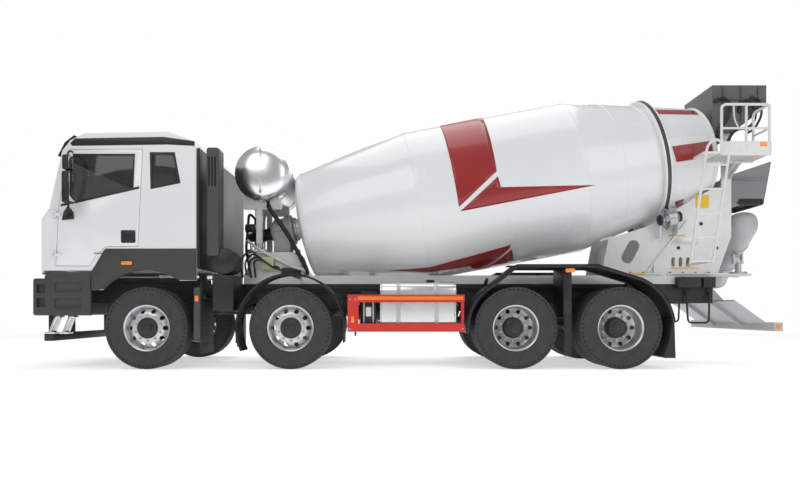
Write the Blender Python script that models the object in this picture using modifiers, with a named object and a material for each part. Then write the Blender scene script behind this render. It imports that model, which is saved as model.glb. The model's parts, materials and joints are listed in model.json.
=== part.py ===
"""Concrete mixer truck on an 8x4 chassis, as separate solids in metres.

+X points to the rear of the truck, +Y to its right side and +Z up.  The origin
lies on the ground, under the middle of the truck.
"""
import math

import bmesh
import bpy
from mathutils import Matrix, Vector

# ---------------------------------------------------------------- driving dimensions
SEAT = 0.0003             # gap between two pieces that touch
THRUST = 0.0005           # gap at a bearing's end face
RUN = 0.006               # least gap round a moving piece

BODY_HALF = 1.25          # half the width over cab, guards and tyres
FRONT_OVERHANG = 1.461    # bumper face to first axle
WHEELBASES = (1.85, 2.90, 1.35)
REAR_REACH = 2.409        # last axle to the outer edge of the chute

TYRE_RADIUS = 0.53        # axle height above the ground
TYRE_WIDTH = 0.29
BEAD_RADIUS = 0.288       # seat of the tyre on its rim
RIM_WALL = 0.018
TWIN_GAP = 0.04           # between the two tyres of a driven wheel
KINGPIN_INSET = 0.22      # kingpin axis to the middle of a steered tyre
WHEEL_SIDES = 20

RAIL_HALF = 0.43          # centre line to the outer face of a frame rail
RAIL_FLANGE = 0.08
RAIL_HEIGHT = 0.27
RAIL_PLATE = 0.01
RAIL_RISE = 0.33          # axle centre to the underside of the rails
SUBFRAME_HEIGHT = 0.12

CAB_LENGTH = 1.98         # lower front wall to rear wall
CAB_HEIGHT = 1.77         # underside of the floor to the roof top
CAB_WALL = 0.05
CAB_FLOOR_LIFT = 0.15     # top of the frame rails to the underside of the floor
ARCH_RADIUS = 0.75        # front wheel opening in the cab's skirt
DOOR_GAP = 0.006

DRUM_RADIUS = 1.09
DRUM_HEAD_RADIUS = 0.757
DRUM_MOUTH_RADIUS = 0.65
DRUM_FRONT_CONE = 1.628
DRUM_BARREL = 2.248
DRUM_REAR_CONE = 1.939
DRUM_WALL = 0.014
DRUM_TILT = math.radians(10.58)
DRUM_SIDES = 28
DRUM_CLEARANCE = 0.0175   # between drum and subframe rails
TRACK_STATION = 5.02      # head to the middle of the track ring, along the axis
TRACK_RADIUS = 0.905
TRACK_WIDTH = 0.10
ROLLER_RADIUS = 0.15
ROLLER_ANGLE = math.radians(33.0)

WATER_TANK_RADIUS = 0.385
WATER_TANK_LENGTH = 1.50
FUEL_TANK_LENGTH = 0.99
GUARD_HEIGHT = 0.477      # side guard, bottom rail to top rail
CHUTE_RADIUS = 0.27
CHUTE_LENGTH = 1.15
CHUTE_WALL = 0.012

# ---------------------------------------------------------------- places worked out
FRONT_X = -(FRONT_OVERHANG + sum(WHEELBASES) + REAR_REACH) / 2   # front face of the bumper
AXLE_X = [FRONT_X + FRONT_OVERHANG]
for base in WHEELBASES:
    AXLE_X.append(AXLE_X[-1] + base)
TYRE_CORNER = TYRE_RADIUS / math.cos(math.pi / WHEEL_SIDES)
WHEEL_Y = BODY_HALF - 0.005 - TYRE_WIDTH / 2
TWIN_Y = WHEEL_Y - (TYRE_WIDTH + TWIN_GAP) / 2
KINGPIN_Y = WHEEL_Y - KINGPIN_INSET
RAIL_Z = TYRE_RADIUS + RAIL_RISE
RAIL_TOP = RAIL_Z + RAIL_HEIGHT
SUB_Z = RAIL_TOP + SEAT
SUB_TOP = SUB_Z + SUBFRAME_HEIGHT
RAIL_INNER = RAIL_HALF - RAIL_FLANGE
FRAME_X = (FRONT_X + 0.22, AXLE_X[3] + 1.56)
SUB_X = (AXLE_X[1] - 0.79, FRAME_X[1])
CAB_X = FRONT_X + 0.12                  # outer face of the cab's front wall
CAB_BACK = CAB_X + CAB_LENGTH
FLOOR_Z = RAIL_TOP + CAB_FLOOR_LIFT
FLOOR_TOP = FLOOR_Z + 0.04
CAB_TOP = FLOOR_Z + CAB_HEIGHT
TILT_X = FRONT_X + 0.06                 # cab tilt axis
TILT_Z = FLOOR_Z - 0.09
DRUM_AXIS = Vector((math.cos(DRUM_TILT), 0.0, math.sin(DRUM_TILT)))
DRUM_DOWN = Vector((math.sin(DRUM_TILT), 0.0, -math.cos(DRUM_TILT)))
DRUM_LENGTH = DRUM_FRONT_CONE + DRUM_BARREL + DRUM_REAR_CONE
_RAIL_REACH = math.sqrt(DRUM_RADIUS ** 2 - RAIL_INNER ** 2)
DRUM_HEAD_Z = (SUB_TOP + DRUM_CLEARANCE + _RAIL_REACH * math.cos(DRUM_TILT)
               - DRUM_FRONT_CONE * math.sin(DRUM_TILT))
BACK_X = FRAME_X[1] + 0.29              # rear face of the rear pedestal's tower
MOUTH_LIP_X = BACK_X - 0.2205           # lower lip of the drum's mouth
DRUM_HEAD_X = (MOUTH_LIP_X - DRUM_LENGTH * math.cos(DRUM_TILT)
               - DRUM_MOUTH_RADIUS * math.sin(DRUM_TILT))
DRUM_HEAD = Vector((DRUM_HEAD_X, 0.0, DRUM_HEAD_Z))


# ---------------------------------------------------------------- scene and finishes
def clear_scene():
    """Remove every object the file came with."""
    for obj in list(bpy.data.objects):
        bpy.data.objects.remove(obj, do_unlink=True)


def collection(name):
    """Make a collection under the scene."""
    made = bpy.data.collections.new(name)
    bpy.context.scene.collection.children.link(made)
    return made


def finish(name, colour, roughness, metallic=0.0):
    """Make a Principled material."""
    made = bpy.data.materials.new(name)
    made.use_nodes = True
    shader = made.node_tree.nodes["Principled BSDF"]
    shader.inputs["Base Color"].default_value = (*colour, 1.0)
    shader.inputs["Roughness"].default_value = roughness
    shader.inputs["Metallic"].default_value = metallic
    return made


COLOURS = {
    "white_paint": ((0.80, 0.81, 0.82), 0.35, 0.0),
    "charcoal_plastic": ((0.045, 0.045, 0.043), 0.60, 0.0),
    "black_steel": ((0.02, 0.02, 0.02), 0.50, 0.3),
    "grey_paint": ((0.16, 0.17, 0.18), 0.45, 0.0),
    "silver_paint": ((0.50, 0.51, 0.52), 0.35, 0.6),
    "red_paint": ((0.45, 0.02, 0.02), 0.40, 0.0),
    "tyre_rubber": ((0.03, 0.03, 0.03), 0.85, 0.0),
    "flap_rubber": ((0.02, 0.02, 0.02), 0.80, 0.0),
    "aluminium": ((0.75, 0.76, 0.77), 0.30, 1.0),
    "cast_iron": ((0.10, 0.10, 0.10), 0.65, 0.7),
    "screen_glass": ((0.03, 0.03, 0.035), 0.08, 0.0),
    "trim_fabric": ((0.06, 0.06, 0.065), 0.90, 0.0),
}


# ---------------------------------------------------------------- shapes
def link(obj):
    """Put an object into the working collection."""
    WORK.objects.link(obj)
    return obj


def snap(bm):
    """Round corners to a hundredth of a millimetre, so that flush faces are exactly flush."""
    for vert in bm.verts:
        vert.co = Vector([round(value, 5) for value in vert.co])


def from_bmesh(bm):
    """Turn a bmesh into an object and free it."""
    snap(bm)
    mesh = bpy.data.meshes.new("shape")
    bm.to_mesh(mesh)
    bm.free()
    return link(bpy.data.objects.new("shape", mesh))


def baked(obj, outwards=True):
    """Replace an object by a plain mesh of its evaluated shape, in world space."""
    bpy.context.view_layer.update()
    graph = bpy.context.evaluated_depsgraph_get()
    mesh = bpy.data.meshes.new_from_object(obj.evaluated_get(graph))
    mesh.transform(obj.matrix_world)
    bpy.data.objects.remove(obj, do_unlink=True)
    bm = bmesh.new()
    bm.from_mesh(mesh)
    snap(bm)
    bmesh.ops.remove_doubles(bm, verts=bm.verts, dist=0.000005)
    bmesh.ops.dissolve_degenerate(bm, dist=0.00001, edges=bm.edges)
    bmesh.ops.dissolve_limit(bm, angle_limit=0.0005, verts=bm.verts, edges=bm.edges)
    if outwards:
        bmesh.ops.recalc_face_normals(bm, faces=bm.faces)
    bpy.data.meshes.remove(mesh)
    return from_bmesh(bm)


def combine(base, tool, operation):
    """Join or cut one object with another, which is used up."""
    change = base.modifiers.new("boolean", "BOOLEAN")
    change.operation = operation
    change.solver = "EXACT"
    change.object = tool
    result = baked(base, outwards=False)
    bpy.data.objects.remove(tool, do_unlink=True)
    return result


def fuse(shapes):
    """Join a list of shapes that overlap into one body."""
    body = shapes[0]
    for other in shapes[1:]:
        body = combine(body, other, "UNION")
    return body


def cut(body, cutters):
    """Take each cutter out of a body."""
    for cutter in cutters:
        body = combine(body, cutter, "DIFFERENCE")
    return body


def block(x, y, z):
    """A box between the two ends of each of its three spans."""
    bm = bmesh.new()
    bmesh.ops.create_cube(bm, size=1.0)
    size = Vector((x[1] - x[0], y[1] - y[0], z[1] - z[0]))
    middle = Vector(((x[0] + x[1]) / 2, (y[0] + y[1]) / 2, (z[0] + z[1]) / 2))
    bmesh.ops.scale(bm, vec=size, verts=bm.verts)
    bmesh.ops.translate(bm, vec=middle, verts=bm.verts)
    return from_bmesh(bm)


def side_span(side, inner, outer):
    """A span across the truck on one side, from two distances off its centre line."""
    return tuple(sorted((side * inner, side * outer)))


def aim(origin, axis, roll=0.0):
    """A matrix whose Z axis lies along a direction and whose X axis stays in the XZ plane."""
    along = Vector(axis).normalized()
    across = Vector((0, 1, 0)) if abs(along.y) < 0.99 else Vector((0, 0, 1))
    first = across.cross(along).normalized()
    second = along.cross(first)
    turn = Matrix((first, second, along)).transposed().to_4x4()
    return Matrix.Translation(Vector(origin)) @ turn @ Matrix.Rotation(roll, 4, "Z")


def rod(start, end, radius, sides=12):
    """A round bar between two points."""
    start, end = Vector(start), Vector(end)
    bm = bmesh.new()
    bmesh.ops.create_cone(bm, cap_ends=True, segments=sides, radius1=radius,
                          radius2=radius, depth=(end - start).length)
    matrix = aim((start + end) / 2, end - start, math.pi / sides)
    bmesh.ops.transform(bm, matrix=matrix, verts=bm.verts)
    return from_bmesh(bm)


def outline(points, axis, low, high):
    """A flat outline drawn across one axis and given thickness along it.

    Points are (x, z) for axis Y, (y, z) for axis X and (x, y) for axis Z.
    """
    curve = bpy.data.curves.new("outline", "CURVE")
    curve.dimensions = "2D"
    curve.fill_mode = "BOTH"
    curve.extrude = (high - low) / 2
    line = curve.splines.new("POLY")
    line.points.add(len(points) - 1)
    for spot, (u, v) in zip(line.points, points):
        spot.co = (u, v, 0.0, 1.0)
    line.use_cyclic_u = True
    obj = link(bpy.data.objects.new("outline", curve))
    middle = (low + high) / 2
    if axis == "Y":
        obj.matrix_world = Matrix.Translation((0, middle, 0)) @ Matrix.Rotation(math.pi / 2, 4, "X")
    elif axis == "X":
        turn = Matrix(((0, 0, 1), (1, 0, 0), (0, 1, 0))).to_4x4()
        obj.matrix_world = Matrix.Translation((middle, 0, 0)) @ turn
    else:
        obj.matrix_world = Matrix.Translation((0, 0, middle))
    return baked(obj)


def inset(points, distance):
    """Move each side of a closed outline inwards by a distance."""
    count = len(points)
    area = sum(points[i][0] * points[(i + 1) % count][1] - points[(i + 1) % count][0] * points[i][1]
               for i in range(count))
    turn = 1 if area > 0 else -1
    moved = []
    for i in range(count):
        before, here, after = (Vector(points[j % count]) for j in (i - 1, i, i + 1))
        first, second = (here - before).normalized(), (after - here).normalized()
        normals = [Vector((-way.y, way.x)) * turn for way in (first, second)]
        middle = (normals[0] + normals[1]).normalized()
        moved.append(tuple(here + middle * distance / middle.dot(normals[0])))
    return moved


def arc(centre, radius, start, end, steps):
    """Points along an arc, with its angles in degrees from the first axis."""
    points = []
    for step in range(steps + 1):
        angle = math.radians(start + (end - start) * step / steps)
        points.append((centre[0] + radius * math.cos(angle), centre[1] + radius * math.sin(angle)))
    return points


def turned(profile, origin, axis, sides=WHEEL_SIDES, closed=True, angle=2 * math.pi, roll=None):
    """A profile of (radius, station) turned about an axis by a Screw modifier."""
    mesh = bpy.data.meshes.new("profile")
    edges = [(i, i + 1) for i in range(len(profile) - 1)]
    if closed:
        edges.append((len(profile) - 1, 0))
    mesh.from_pydata([(radius, 0, along) for radius, along in profile], edges, [])
    obj = link(bpy.data.objects.new("turned", mesh))
    screw = obj.modifiers.new("screw", "SCREW")
    screw.angle = angle
    screw.steps = sides
    screw.render_steps = sides
    screw.use_merge_vertices = True
    screw.merge_threshold = 0.00005
    obj.matrix_world = aim(origin, axis, math.pi / sides if roll is None else roll)
    return obj


def piece(name, shape, colour, origin=None):
    """Name a finished shape, give it its material and set its origin on its joint."""
    shape.name = name
    shape.data.name = name
    shape.data.materials.clear()
    shape.data.materials.append(FINISHES[colour])
    shape.data.shade_smooth()
    shape.data.set_sharp_from_angle(angle=math.radians(35))
    if origin is not None:
        shape.data.transform(Matrix.Translation(-Vector(origin)))
        shape.location = origin
    WORK.objects.unlink(shape)
    TRUCK.objects.link(shape)
    return shape


# ---------------------------------------------------------------- frame and engine
def channel(side):
    """One frame rail, a channel that opens towards the centre line."""
    outer, inner, web = side * RAIL_HALF, side * RAIL_INNER, side * (RAIL_HALF - RAIL_PLATE)
    low, high = RAIL_Z, RAIL_TOP
    points = [(outer, low), (inner, low), (inner, low + RAIL_PLATE), (web, low + RAIL_PLATE),
              (web, high - RAIL_PLATE), (inner, high - RAIL_PLATE), (inner, high), (outer, high)]
    return outline(points, "X", *FRAME_X)


def chassis_frame():
    """Two channel rails, their cross members and the posts that carry the cab."""
    reach = RAIL_HALF - RAIL_PLATE / 2
    shapes = [channel(-1), channel(1)]
    for x in (FRAME_X[0] + 0.01, CAB_BACK + 0.44, AXLE_X[1] + 0.95, AXLE_X[2] - 0.95,
              (AXLE_X[2] + AXLE_X[3]) / 2, AXLE_X[3] + 0.75, FRAME_X[1] - 0.10):
        shapes.append(block((x, x + 0.08), (-reach, reach), (RAIL_Z + 0.06, RAIL_TOP - 0.06)))
    body = fuse(shapes)
    for x in (CAB_X + 0.16, CAB_BACK - 0.16):
        for side in (-1, 1):
            body = combine(body, block((x - 0.05, x + 0.05),
                                       side_span(side, RAIL_HALF - 0.06, RAIL_HALF),
                                       (RAIL_TOP - 0.005, FLOOR_Z - SEAT)), "UNION")
    return piece("chassis_frame", body, "black_steel")


def engine_block():
    """Engine and gearbox as one block, with feet on the rails' lower flanges."""
    front = FRAME_X[0] + 0.33
    half = RAIL_INNER - 0.02
    foot = (RAIL_Z + RAIL_PLATE + SEAT, RAIL_Z + RAIL_PLATE + 0.06)
    shapes = [block((front, front + 1.30), (-half, half), (TYRE_RADIUS + 0.09, FLOOR_Z - 0.06)),
              block((front + 1.28, front + 1.95), (-0.24, 0.24), (RAIL_Z - 0.16, RAIL_TOP - 0.02))]
    for x in (front + 0.12, front + 1.05):
        shapes.append(block((x, x + 0.10), (-RAIL_INNER - 0.04, RAIL_INNER + 0.04), foot))
    return piece("engine_block", fuse(shapes), "cast_iron")


# ---------------------------------------------------------------- axles and knuckles
SPRING_Y = (RAIL_INNER + 0.005, RAIL_HALF - 0.005)
SPRING_HALF = 0.60
BOSS_RADIUS = 0.05
BOSS_HALF = 0.08


def spring(x, side, seat_z, y):
    """A leaf spring with the brackets that hang it from the rail above."""
    leaf = 0.045
    eye_z = RAIL_Z - 0.10
    points = [(x - SPRING_HALF, eye_z), (x - 0.12, seat_z), (x + 0.12, seat_z),
              (x + SPRING_HALF, eye_z), (x + SPRING_HALF, eye_z + leaf),
              (x + 0.12, seat_z + 2 * leaf), (x - 0.12, seat_z + 2 * leaf),
              (x - SPRING_HALF, eye_z + leaf)]
    span = side_span(side, *y)
    shapes = [outline(points, "Y", *span)]
    for end in (-1, 1):
        at = x + end * (SPRING_HALF - 0.03)
        shapes.append(block((at - 0.035, at + 0.035), span, (eye_z + 0.01, RAIL_Z - SEAT)))
    return shapes


def steer_axle(name, x):
    """A dropped beam with a kingpin boss at each end and its two springs."""
    end, drop = TYRE_RADIUS, TYRE_RADIUS - 0.12
    right = [(0.58, drop - 0.05), (0.74, end - 0.06), (KINGPIN_Y, end - 0.06),
             (KINGPIN_Y, end + 0.05), (0.70, end + 0.05), (0.56, drop + 0.06)]
    points = right + [(-y, z) for y, z in reversed(right)]
    shapes = [outline(points, "X", x - 0.045, x + 0.045)]
    for side in (-1, 1):
        pin = Vector((x, side * KINGPIN_Y, TYRE_RADIUS))
        up = Vector((0, 0, BOSS_HALF))
        shapes.append(rod(pin - up, pin + up, BOSS_RADIUS, 16))
        shapes += spring(x, side, drop + 0.055, SPRING_Y)
    return piece(name, fuse(shapes), "black_steel")


HUB_INNER_Y = TWIN_Y - 0.02


def drive_axle(name, x):
    """A tube with a round differential housing, hub stubs and its two springs."""
    centre = Vector((x, 0, TYRE_RADIUS))
    across = Vector((0, 1, 0))
    shoulder = HUB_INNER_Y - THRUST
    profile = [(0.0, WHEEL_Y - 0.05), (0.05, WHEEL_Y - 0.05), (0.05, shoulder), (0.10, shoulder),
               (0.10, shoulder - 0.06), (0.075, shoulder - 0.10), (0.075, 0.22), (0.20, 0.12)]
    profile += [(radius, -along) for radius, along in reversed(profile)]
    shapes = [baked(turned(profile, centre, across, 12, closed=False)),
              rod(centre + Vector((-0.34, 0, 0)), centre + Vector((-0.12, 0, 0)), 0.11)]
    for side in (-1, 1):
        shapes += spring(x, side, TYRE_RADIUS + 0.05, (RAIL_HALF - 0.07, RAIL_HALF))
    return piece(name, fuse(shapes), "black_steel")


KNUCKLE_PLATE_Y = KINGPIN_Y + BOSS_RADIUS + RUN
HUB_FACE_Y = KNUCKLE_PLATE_Y + 0.03
SPINDLE_RADIUS = 0.035


def knuckle(name, x, side):
    """A yoke that turns on the beam's boss and carries the wheel's spindle."""
    arm_low = TYRE_RADIUS - BOSS_HALF - THRUST
    arm_high = TYRE_RADIUS + BOSS_HALF + THRUST
    out = Vector((0, side, 0))
    plate = KNUCKLE_PLATE_Y
    hub = Vector((x, 0, TYRE_RADIUS))
    shapes = [rod(hub + out * plate, hub + out * (HUB_FACE_Y - THRUST), 0.19, 20),
              rod(hub + out * (plate + 0.01), hub + out * (WHEEL_Y - 0.01), SPINDLE_RADIUS)]
    for low, high in ((arm_low - 0.04, arm_low), (arm_high, arm_high + 0.04)):
        shapes.append(block((x - 0.045, x + 0.045),
                            side_span(side, KINGPIN_Y - 0.045, plate + 0.01), (low, high)))
    pin = (x, side * KINGPIN_Y, TYRE_RADIUS)
    return piece(name, fuse(shapes), "cast_iron", pin)


# ---------------------------------------------------------------- wheels
def tyre_profile(middle):
    """Half section of one tyre, round a station along the axle."""
    half, bead, side = TYRE_WIDTH / 2, BEAD_RADIUS, TYRE_RADIUS
    return [(TYRE_CORNER, middle + half - 0.02), (side - 0.09, middle + half),
            (bead, middle + half - 0.025), (bead, middle - half + 0.025),
            (side - 0.09, middle - half), (TYRE_CORNER, middle - half + 0.02)]


RIM_RADIUS = BEAD_RADIUS - SEAT / math.cos(math.pi / WHEEL_SIDES)
RIM_INNER = RIM_RADIUS - RIM_WALL


def steer_tyre(name, x, side):
    """A tyre on a steered wheel."""
    centre = Vector((x, side * WHEEL_Y, TYRE_RADIUS))
    shape = turned(tyre_profile(0.0), centre, (0, side, 0))
    return piece(name, baked(shape), "tyre_rubber", centre)


def steer_rim(name, x, side):
    """Rim, disc and hub of a steered wheel as one turned body."""
    centre = Vector((x, side * WHEEL_Y, TYRE_RADIUS))
    half, disc = TYRE_WIDTH / 2 - 0.02, 0.055
    inner = HUB_FACE_Y - WHEEL_Y
    profile = [(0.0, half), (0.12, half), (0.13, disc + 0.02), (RIM_INNER, disc + 0.02),
               (RIM_INNER, half), (RIM_RADIUS, half), (RIM_RADIUS, -half), (RIM_INNER, -half),
               (RIM_INNER, disc), (0.13, disc - 0.01), (0.12, inner),
               (SPINDLE_RADIUS + RUN, inner), (SPINDLE_RADIUS + RUN, 0.01), (0.0, 0.01)]
    shape = turned(profile, centre, (0, side, 0), closed=False)
    return piece(name, baked(shape), "silver_paint", centre)


def twin_tyres(name, x, side):
    """Both tyres of a driven wheel with the rim barrel that joins them."""
    centre = Vector((x, side * WHEEL_Y, TYRE_RADIUS))
    step = TYRE_WIDTH + TWIN_GAP
    outer, inner = tyre_profile(0.0), tyre_profile(-step)
    end = TYRE_WIDTH / 2 - 0.02
    profile = (outer[:3] + [(BEAD_RADIUS, end), (RIM_INNER, end), (RIM_INNER, -step - end),
                            (BEAD_RADIUS, -step - end)] + inner[3:] + inner[:3] + outer[3:])
    shape = turned(profile, centre, (0, side, 0))
    return piece(name, baked(shape), "tyre_rubber", centre)


def drive_hub(name, x, side):
    """Wheel disc and hub of a driven wheel, inside the rim barrel."""
    centre = Vector((x, side * WHEEL_Y, TYRE_RADIUS))
    disc, edge = -0.13, RIM_INNER - SEAT / math.cos(math.pi / WHEEL_SIDES)
    inner = HUB_INNER_Y - WHEEL_Y
    profile = [(0.0, 0.06), (0.11, 0.06), (0.125, 0.03), (0.135, disc + 0.02), (edge, disc + 0.02),
               (edge, disc), (0.15, disc), (0.15, inner), (0.056, inner), (0.056, -0.04),
               (0.0, -0.04)]
    shape = turned(profile, centre, (0, side, 0), closed=False)
    return piece(name, baked(shape), "silver_paint", centre)


SIDES = (("left", -1), ("right", 1))


def running_gear():
    """Axles, knuckles and wheels, from the front of the truck to the rear."""
    for number, x in enumerate(AXLE_X[:2], 1):
        steer_axle(f"steer_axle_{number}", x)
        for word, side in SIDES:
            knuckle(f"knuckle_{number}_{word}", x, side)
            steer_tyre(f"tyre_{number}_{word}", x, side)
            steer_rim(f"rim_{number}_{word}", x, side)
    for number, x in enumerate(AXLE_X[2:], 3):
        drive_axle(f"drive_axle_{number}", x)
        for word, side in SIDES:
            twin_tyres(f"twin_tyres_{number}_{word}", x, side)
            drive_hub(f"drive_hub_{number}_{word}", x, side)


# ---------------------------------------------------------------- cab
CAB_SIDE = BODY_HALF - 0.005
CAB_INSIDE = CAB_SIDE - CAB_WALL
PANEL_TOP = FLOOR_TOP + 0.61
SCREEN_LOW = (0.10, 0.75)       # windscreen line, from the front wall and the floor's top
SCREEN_HIGH = (0.267, 1.49)
SCREEN_EDGE = (0.80, 1.45)      # lower and upper edges of the windscreen opening
SCREEN_HALF = 1.10
HINGE_Y = CAB_SIDE + 0.014
HINGE_X = CAB_X + 0.186
HINGE_Z = (FLOOR_TOP + 0.10, FLOOR_TOP + 0.62)
HINGE_PIN = 0.010


def cab_points(pairs):
    """Outline points from distances behind the cab's front wall and above its floor."""
    return [(CAB_X + x, FLOOR_TOP + z) for x, z in pairs]


DOOR_OUTLINE = cab_points([(0.18, 0.005), (0.62, 0.005), (0.70, 0.14), (0.82, 0.25), (1.24, 0.26),
                           (1.30, 1.51), (0.36, 1.51), (0.22, 0.80)])
DOOR_WINDOW = cab_points([(0.40, 1.45), (1.20, 1.45), (1.18, 0.99), (0.52, 0.84), (0.37, 0.82),
                          (0.31, 0.92)])
QUARTER_WINDOW = cab_points([(1.40, 1.456), (1.70, 1.456), (1.77, 1.08), (1.41, 1.007)])


def hinge_parts(side, low, high, reach):
    """A barrel on the door's hinge line, and the lug and foot that tie it to a panel."""
    x, y = HINGE_X, side * HINGE_Y
    foot = sorted((x + reach * 0.7, x + reach))
    return [fuse([rod((x, y, low), (x, y, high), HINGE_PIN, 10),
                  block(sorted((x, x + reach * 0.99)), side_span(side, CAB_SIDE + 0.005, HINGE_Y + 0.006),
                        (low + 0.001, high - 0.001)),
                  block(foot, side_span(side, CAB_SIDE - 0.012, HINGE_Y), (low + 0.003, high - 0.003))])]


def cab_shell():
    """Hollow cab with its skirts, door openings, windows and wheel arches cut."""
    back = CAB_BACK - CAB_X
    roof = CAB_TOP - FLOOR_TOP
    skirt = FLOOR_Z - 0.14
    arch_end = math.degrees(math.asin((skirt - TYRE_RADIUS) / ARCH_RADIUS))
    front_low = FLOOR_Z - 0.26
    arch_start = 180 - math.degrees(math.asin((front_low - TYRE_RADIUS) / ARCH_RADIUS))
    arch = arc((AXLE_X[0], TYRE_RADIUS), ARCH_RADIUS, arch_end, arch_start, 10)
    skin = cab_points([(0.0, -0.10), (0.0, 0.61), SCREEN_LOW, SCREEN_HIGH, (0.37, 1.62),
                       (0.55, roof - 0.02), (back - 0.35, roof), (back, roof - 0.13)])
    skin += [(CAB_BACK, skirt)] + arch
    skin += [(AXLE_X[0] - 0.69, front_low), (AXLE_X[0] - 0.65, FLOOR_Z - 0.01),
             (CAB_X + 0.03, FLOOR_Z - 0.01)]
    body = outline(skin, "Y", -CAB_SIDE, CAB_SIDE)
    wall = CAB_WALL
    room = cab_points([(wall, 0.0), (wall, 0.60), (SCREEN_LOW[0] + wall, SCREEN_LOW[1] - 0.01),
                       (SCREEN_HIGH[0] + wall, SCREEN_HIGH[1] - 0.01), (0.42, 1.57),
                       (0.56, roof - 0.02 - wall), (back - 0.37, roof - wall),
                       (back - wall, roof - 0.13 - wall * 0.8), (back - wall, 0.0)])
    glass_low, glass_high = SCREEN_EDGE
    screen = cab_points([(-0.10, glass_low), (0.22, glass_low), (0.40, glass_high),
                         (0.0, glass_high)])
    rear_window = (FLOOR_TOP + 0.99, FLOOR_TOP + 1.35)
    cutters = [outline(room, "Y", -CAB_INSIDE, CAB_INSIDE),
               block((CAB_X + wall, CAB_BACK + 0.1), (-CAB_INSIDE, CAB_INSIDE), (0.5, FLOOR_Z)),
               outline(screen, "Y", -SCREEN_HALF, SCREEN_HALF),
               outline(DOOR_OUTLINE, "Y", -BODY_HALF - 0.1, BODY_HALF + 0.1),
               outline(QUARTER_WINDOW, "Y", -BODY_HALF - 0.1, BODY_HALF + 0.1),
               block((CAB_BACK - 0.1, CAB_BACK + 0.1), (-0.69, 0.69), rear_window)]
    body = cut(body, cutters)
    for side in (-1, 1):
        for z in HINGE_Z:
            for low, high in ((z, z + 0.03 - THRUST), (z + 0.07 + THRUST, z + 0.10)):
                for shape in hinge_parts(side, low, high, -0.05):
                    body = combine(body, shape, "UNION")
    return piece("cab_shell", body, "white_paint", (TILT_X, 0, TILT_Z))


def windscreen():
    """Glass slab that fills the windscreen opening."""
    slope = (SCREEN_HIGH[0] - SCREEN_LOW[0]) / (SCREEN_HIGH[1] - SCREEN_LOW[1])
    low, high = SCREEN_EDGE[0] + SEAT, SCREEN_EDGE[1] - SEAT
    front = [SCREEN_LOW[0] + slope * (z - SCREEN_LOW[1]) + 0.008 for z in (low, high)]
    points = cab_points([(front[0], low), (front[0] + 0.02, low), (front[1] + 0.02, high),
                         (front[1], high)])
    half = SCREEN_HALF - SEAT
    return piece("windscreen", outline(points, "Y", -half, half), "screen_glass")


def cab_door(word, side):
    """A door as thick as the cab's wall, with its window and its mirror."""
    across = side_span(side, CAB_INSIDE, CAB_SIDE)
    door = outline(inset(DOOR_OUTLINE, DOOR_GAP), "Y", *across)
    door = cut(door, [outline(DOOR_WINDOW, "Y", across[0] - 0.05, across[1] + 0.05)])
    x, low, high = CAB_X + 0.40, FLOOR_TOP + 0.66, FLOOR_TOP + 1.47
    post = CAB_SIDE + 0.16
    fittings = [block((x - 0.02, x + 0.10), side_span(side, CAB_SIDE + 0.10, CAB_SIDE + 0.27),
                    (low + 0.10, high - 0.06)),
              rod((x, side * post, low - 0.05), (x, side * post, high + 0.012), 0.014, 8),
              block((x - 0.12, x + 0.03), side_span(side, CAB_SIDE - 0.01, post + 0.02),
                    (low - 0.06, low + 0.02)),
              block((x - 0.015, x + 0.015), side_span(side, CAB_SIDE - 0.01, post + 0.01),
                    (high - 0.015, high + 0.01))]
    for z in HINGE_Z:
        fittings += hinge_parts(side, z + 0.03, z + 0.07, 0.065)
    for shape in fittings:
        door = combine(door, shape, "UNION")
    hinge = (HINGE_X, side * HINGE_Y, FLOOR_TOP)
    return piece(f"door_{word}", door, "white_paint", hinge)


def front_panel():
    """Service lid on the cab's front wall, hinged along its top edge."""
    front = FRONT_X + 0.08
    shape = block((front, CAB_X - SEAT), (-1.05, 1.05), (FLOOR_Z - 0.03, PANEL_TOP - 0.005))
    return piece("front_panel", shape, "white_paint", (front, 0, PANEL_TOP - 0.005))


SEAT_Y = 0.58
STEER_AXIS = Vector((0.6, 0, 0.8)).normalized()
STEER_CENTRE = Vector((CAB_X + 0.72, -SEAT_Y, FLOOR_TOP + 0.72))
STEER_RADIUS = 0.225


def seats():
    """Two seats, each a base, cushion and back in one body, on the cab's floor."""
    for word, side in SIDES:
        y = side_span(side, SEAT_Y - 0.25, SEAT_Y + 0.25)
        base = block((CAB_X + 1.00, CAB_X + 1.36), (y[0] + 0.08, y[1] - 0.08),
                     (FLOOR_TOP + SEAT, FLOOR_TOP + 0.34))
        cushion = block((CAB_X + 0.94, CAB_X + 1.48), y, (FLOOR_TOP + 0.32, FLOOR_TOP + 0.48))
        lean = cab_points([(1.38, 0.40), (1.52, 0.40), (1.68, 1.12), (1.58, 1.14)])
        back = outline(lean, "Y", *y)
        piece(f"seat_{word}", fuse([base, cushion, back]), "trim_fabric")


def dashboard():
    """Dashboard against the front wall, with the fixed steering column."""
    desk = cab_points([(CAB_WALL + SEAT, 0.28), (0.36, 0.28), (0.46, 0.42), (0.42, 0.58),
                       (CAB_WALL + SEAT, 0.59)])
    body = outline(desk, "Y", -CAB_INSIDE + 0.02, CAB_INSIDE - 0.02)
    column = rod(STEER_CENTRE - STEER_AXIS * 0.50, STEER_CENTRE - STEER_AXIS * 0.06, 0.04)
    return piece("dashboard", fuse([body, column]), "charcoal_plastic")


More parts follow.
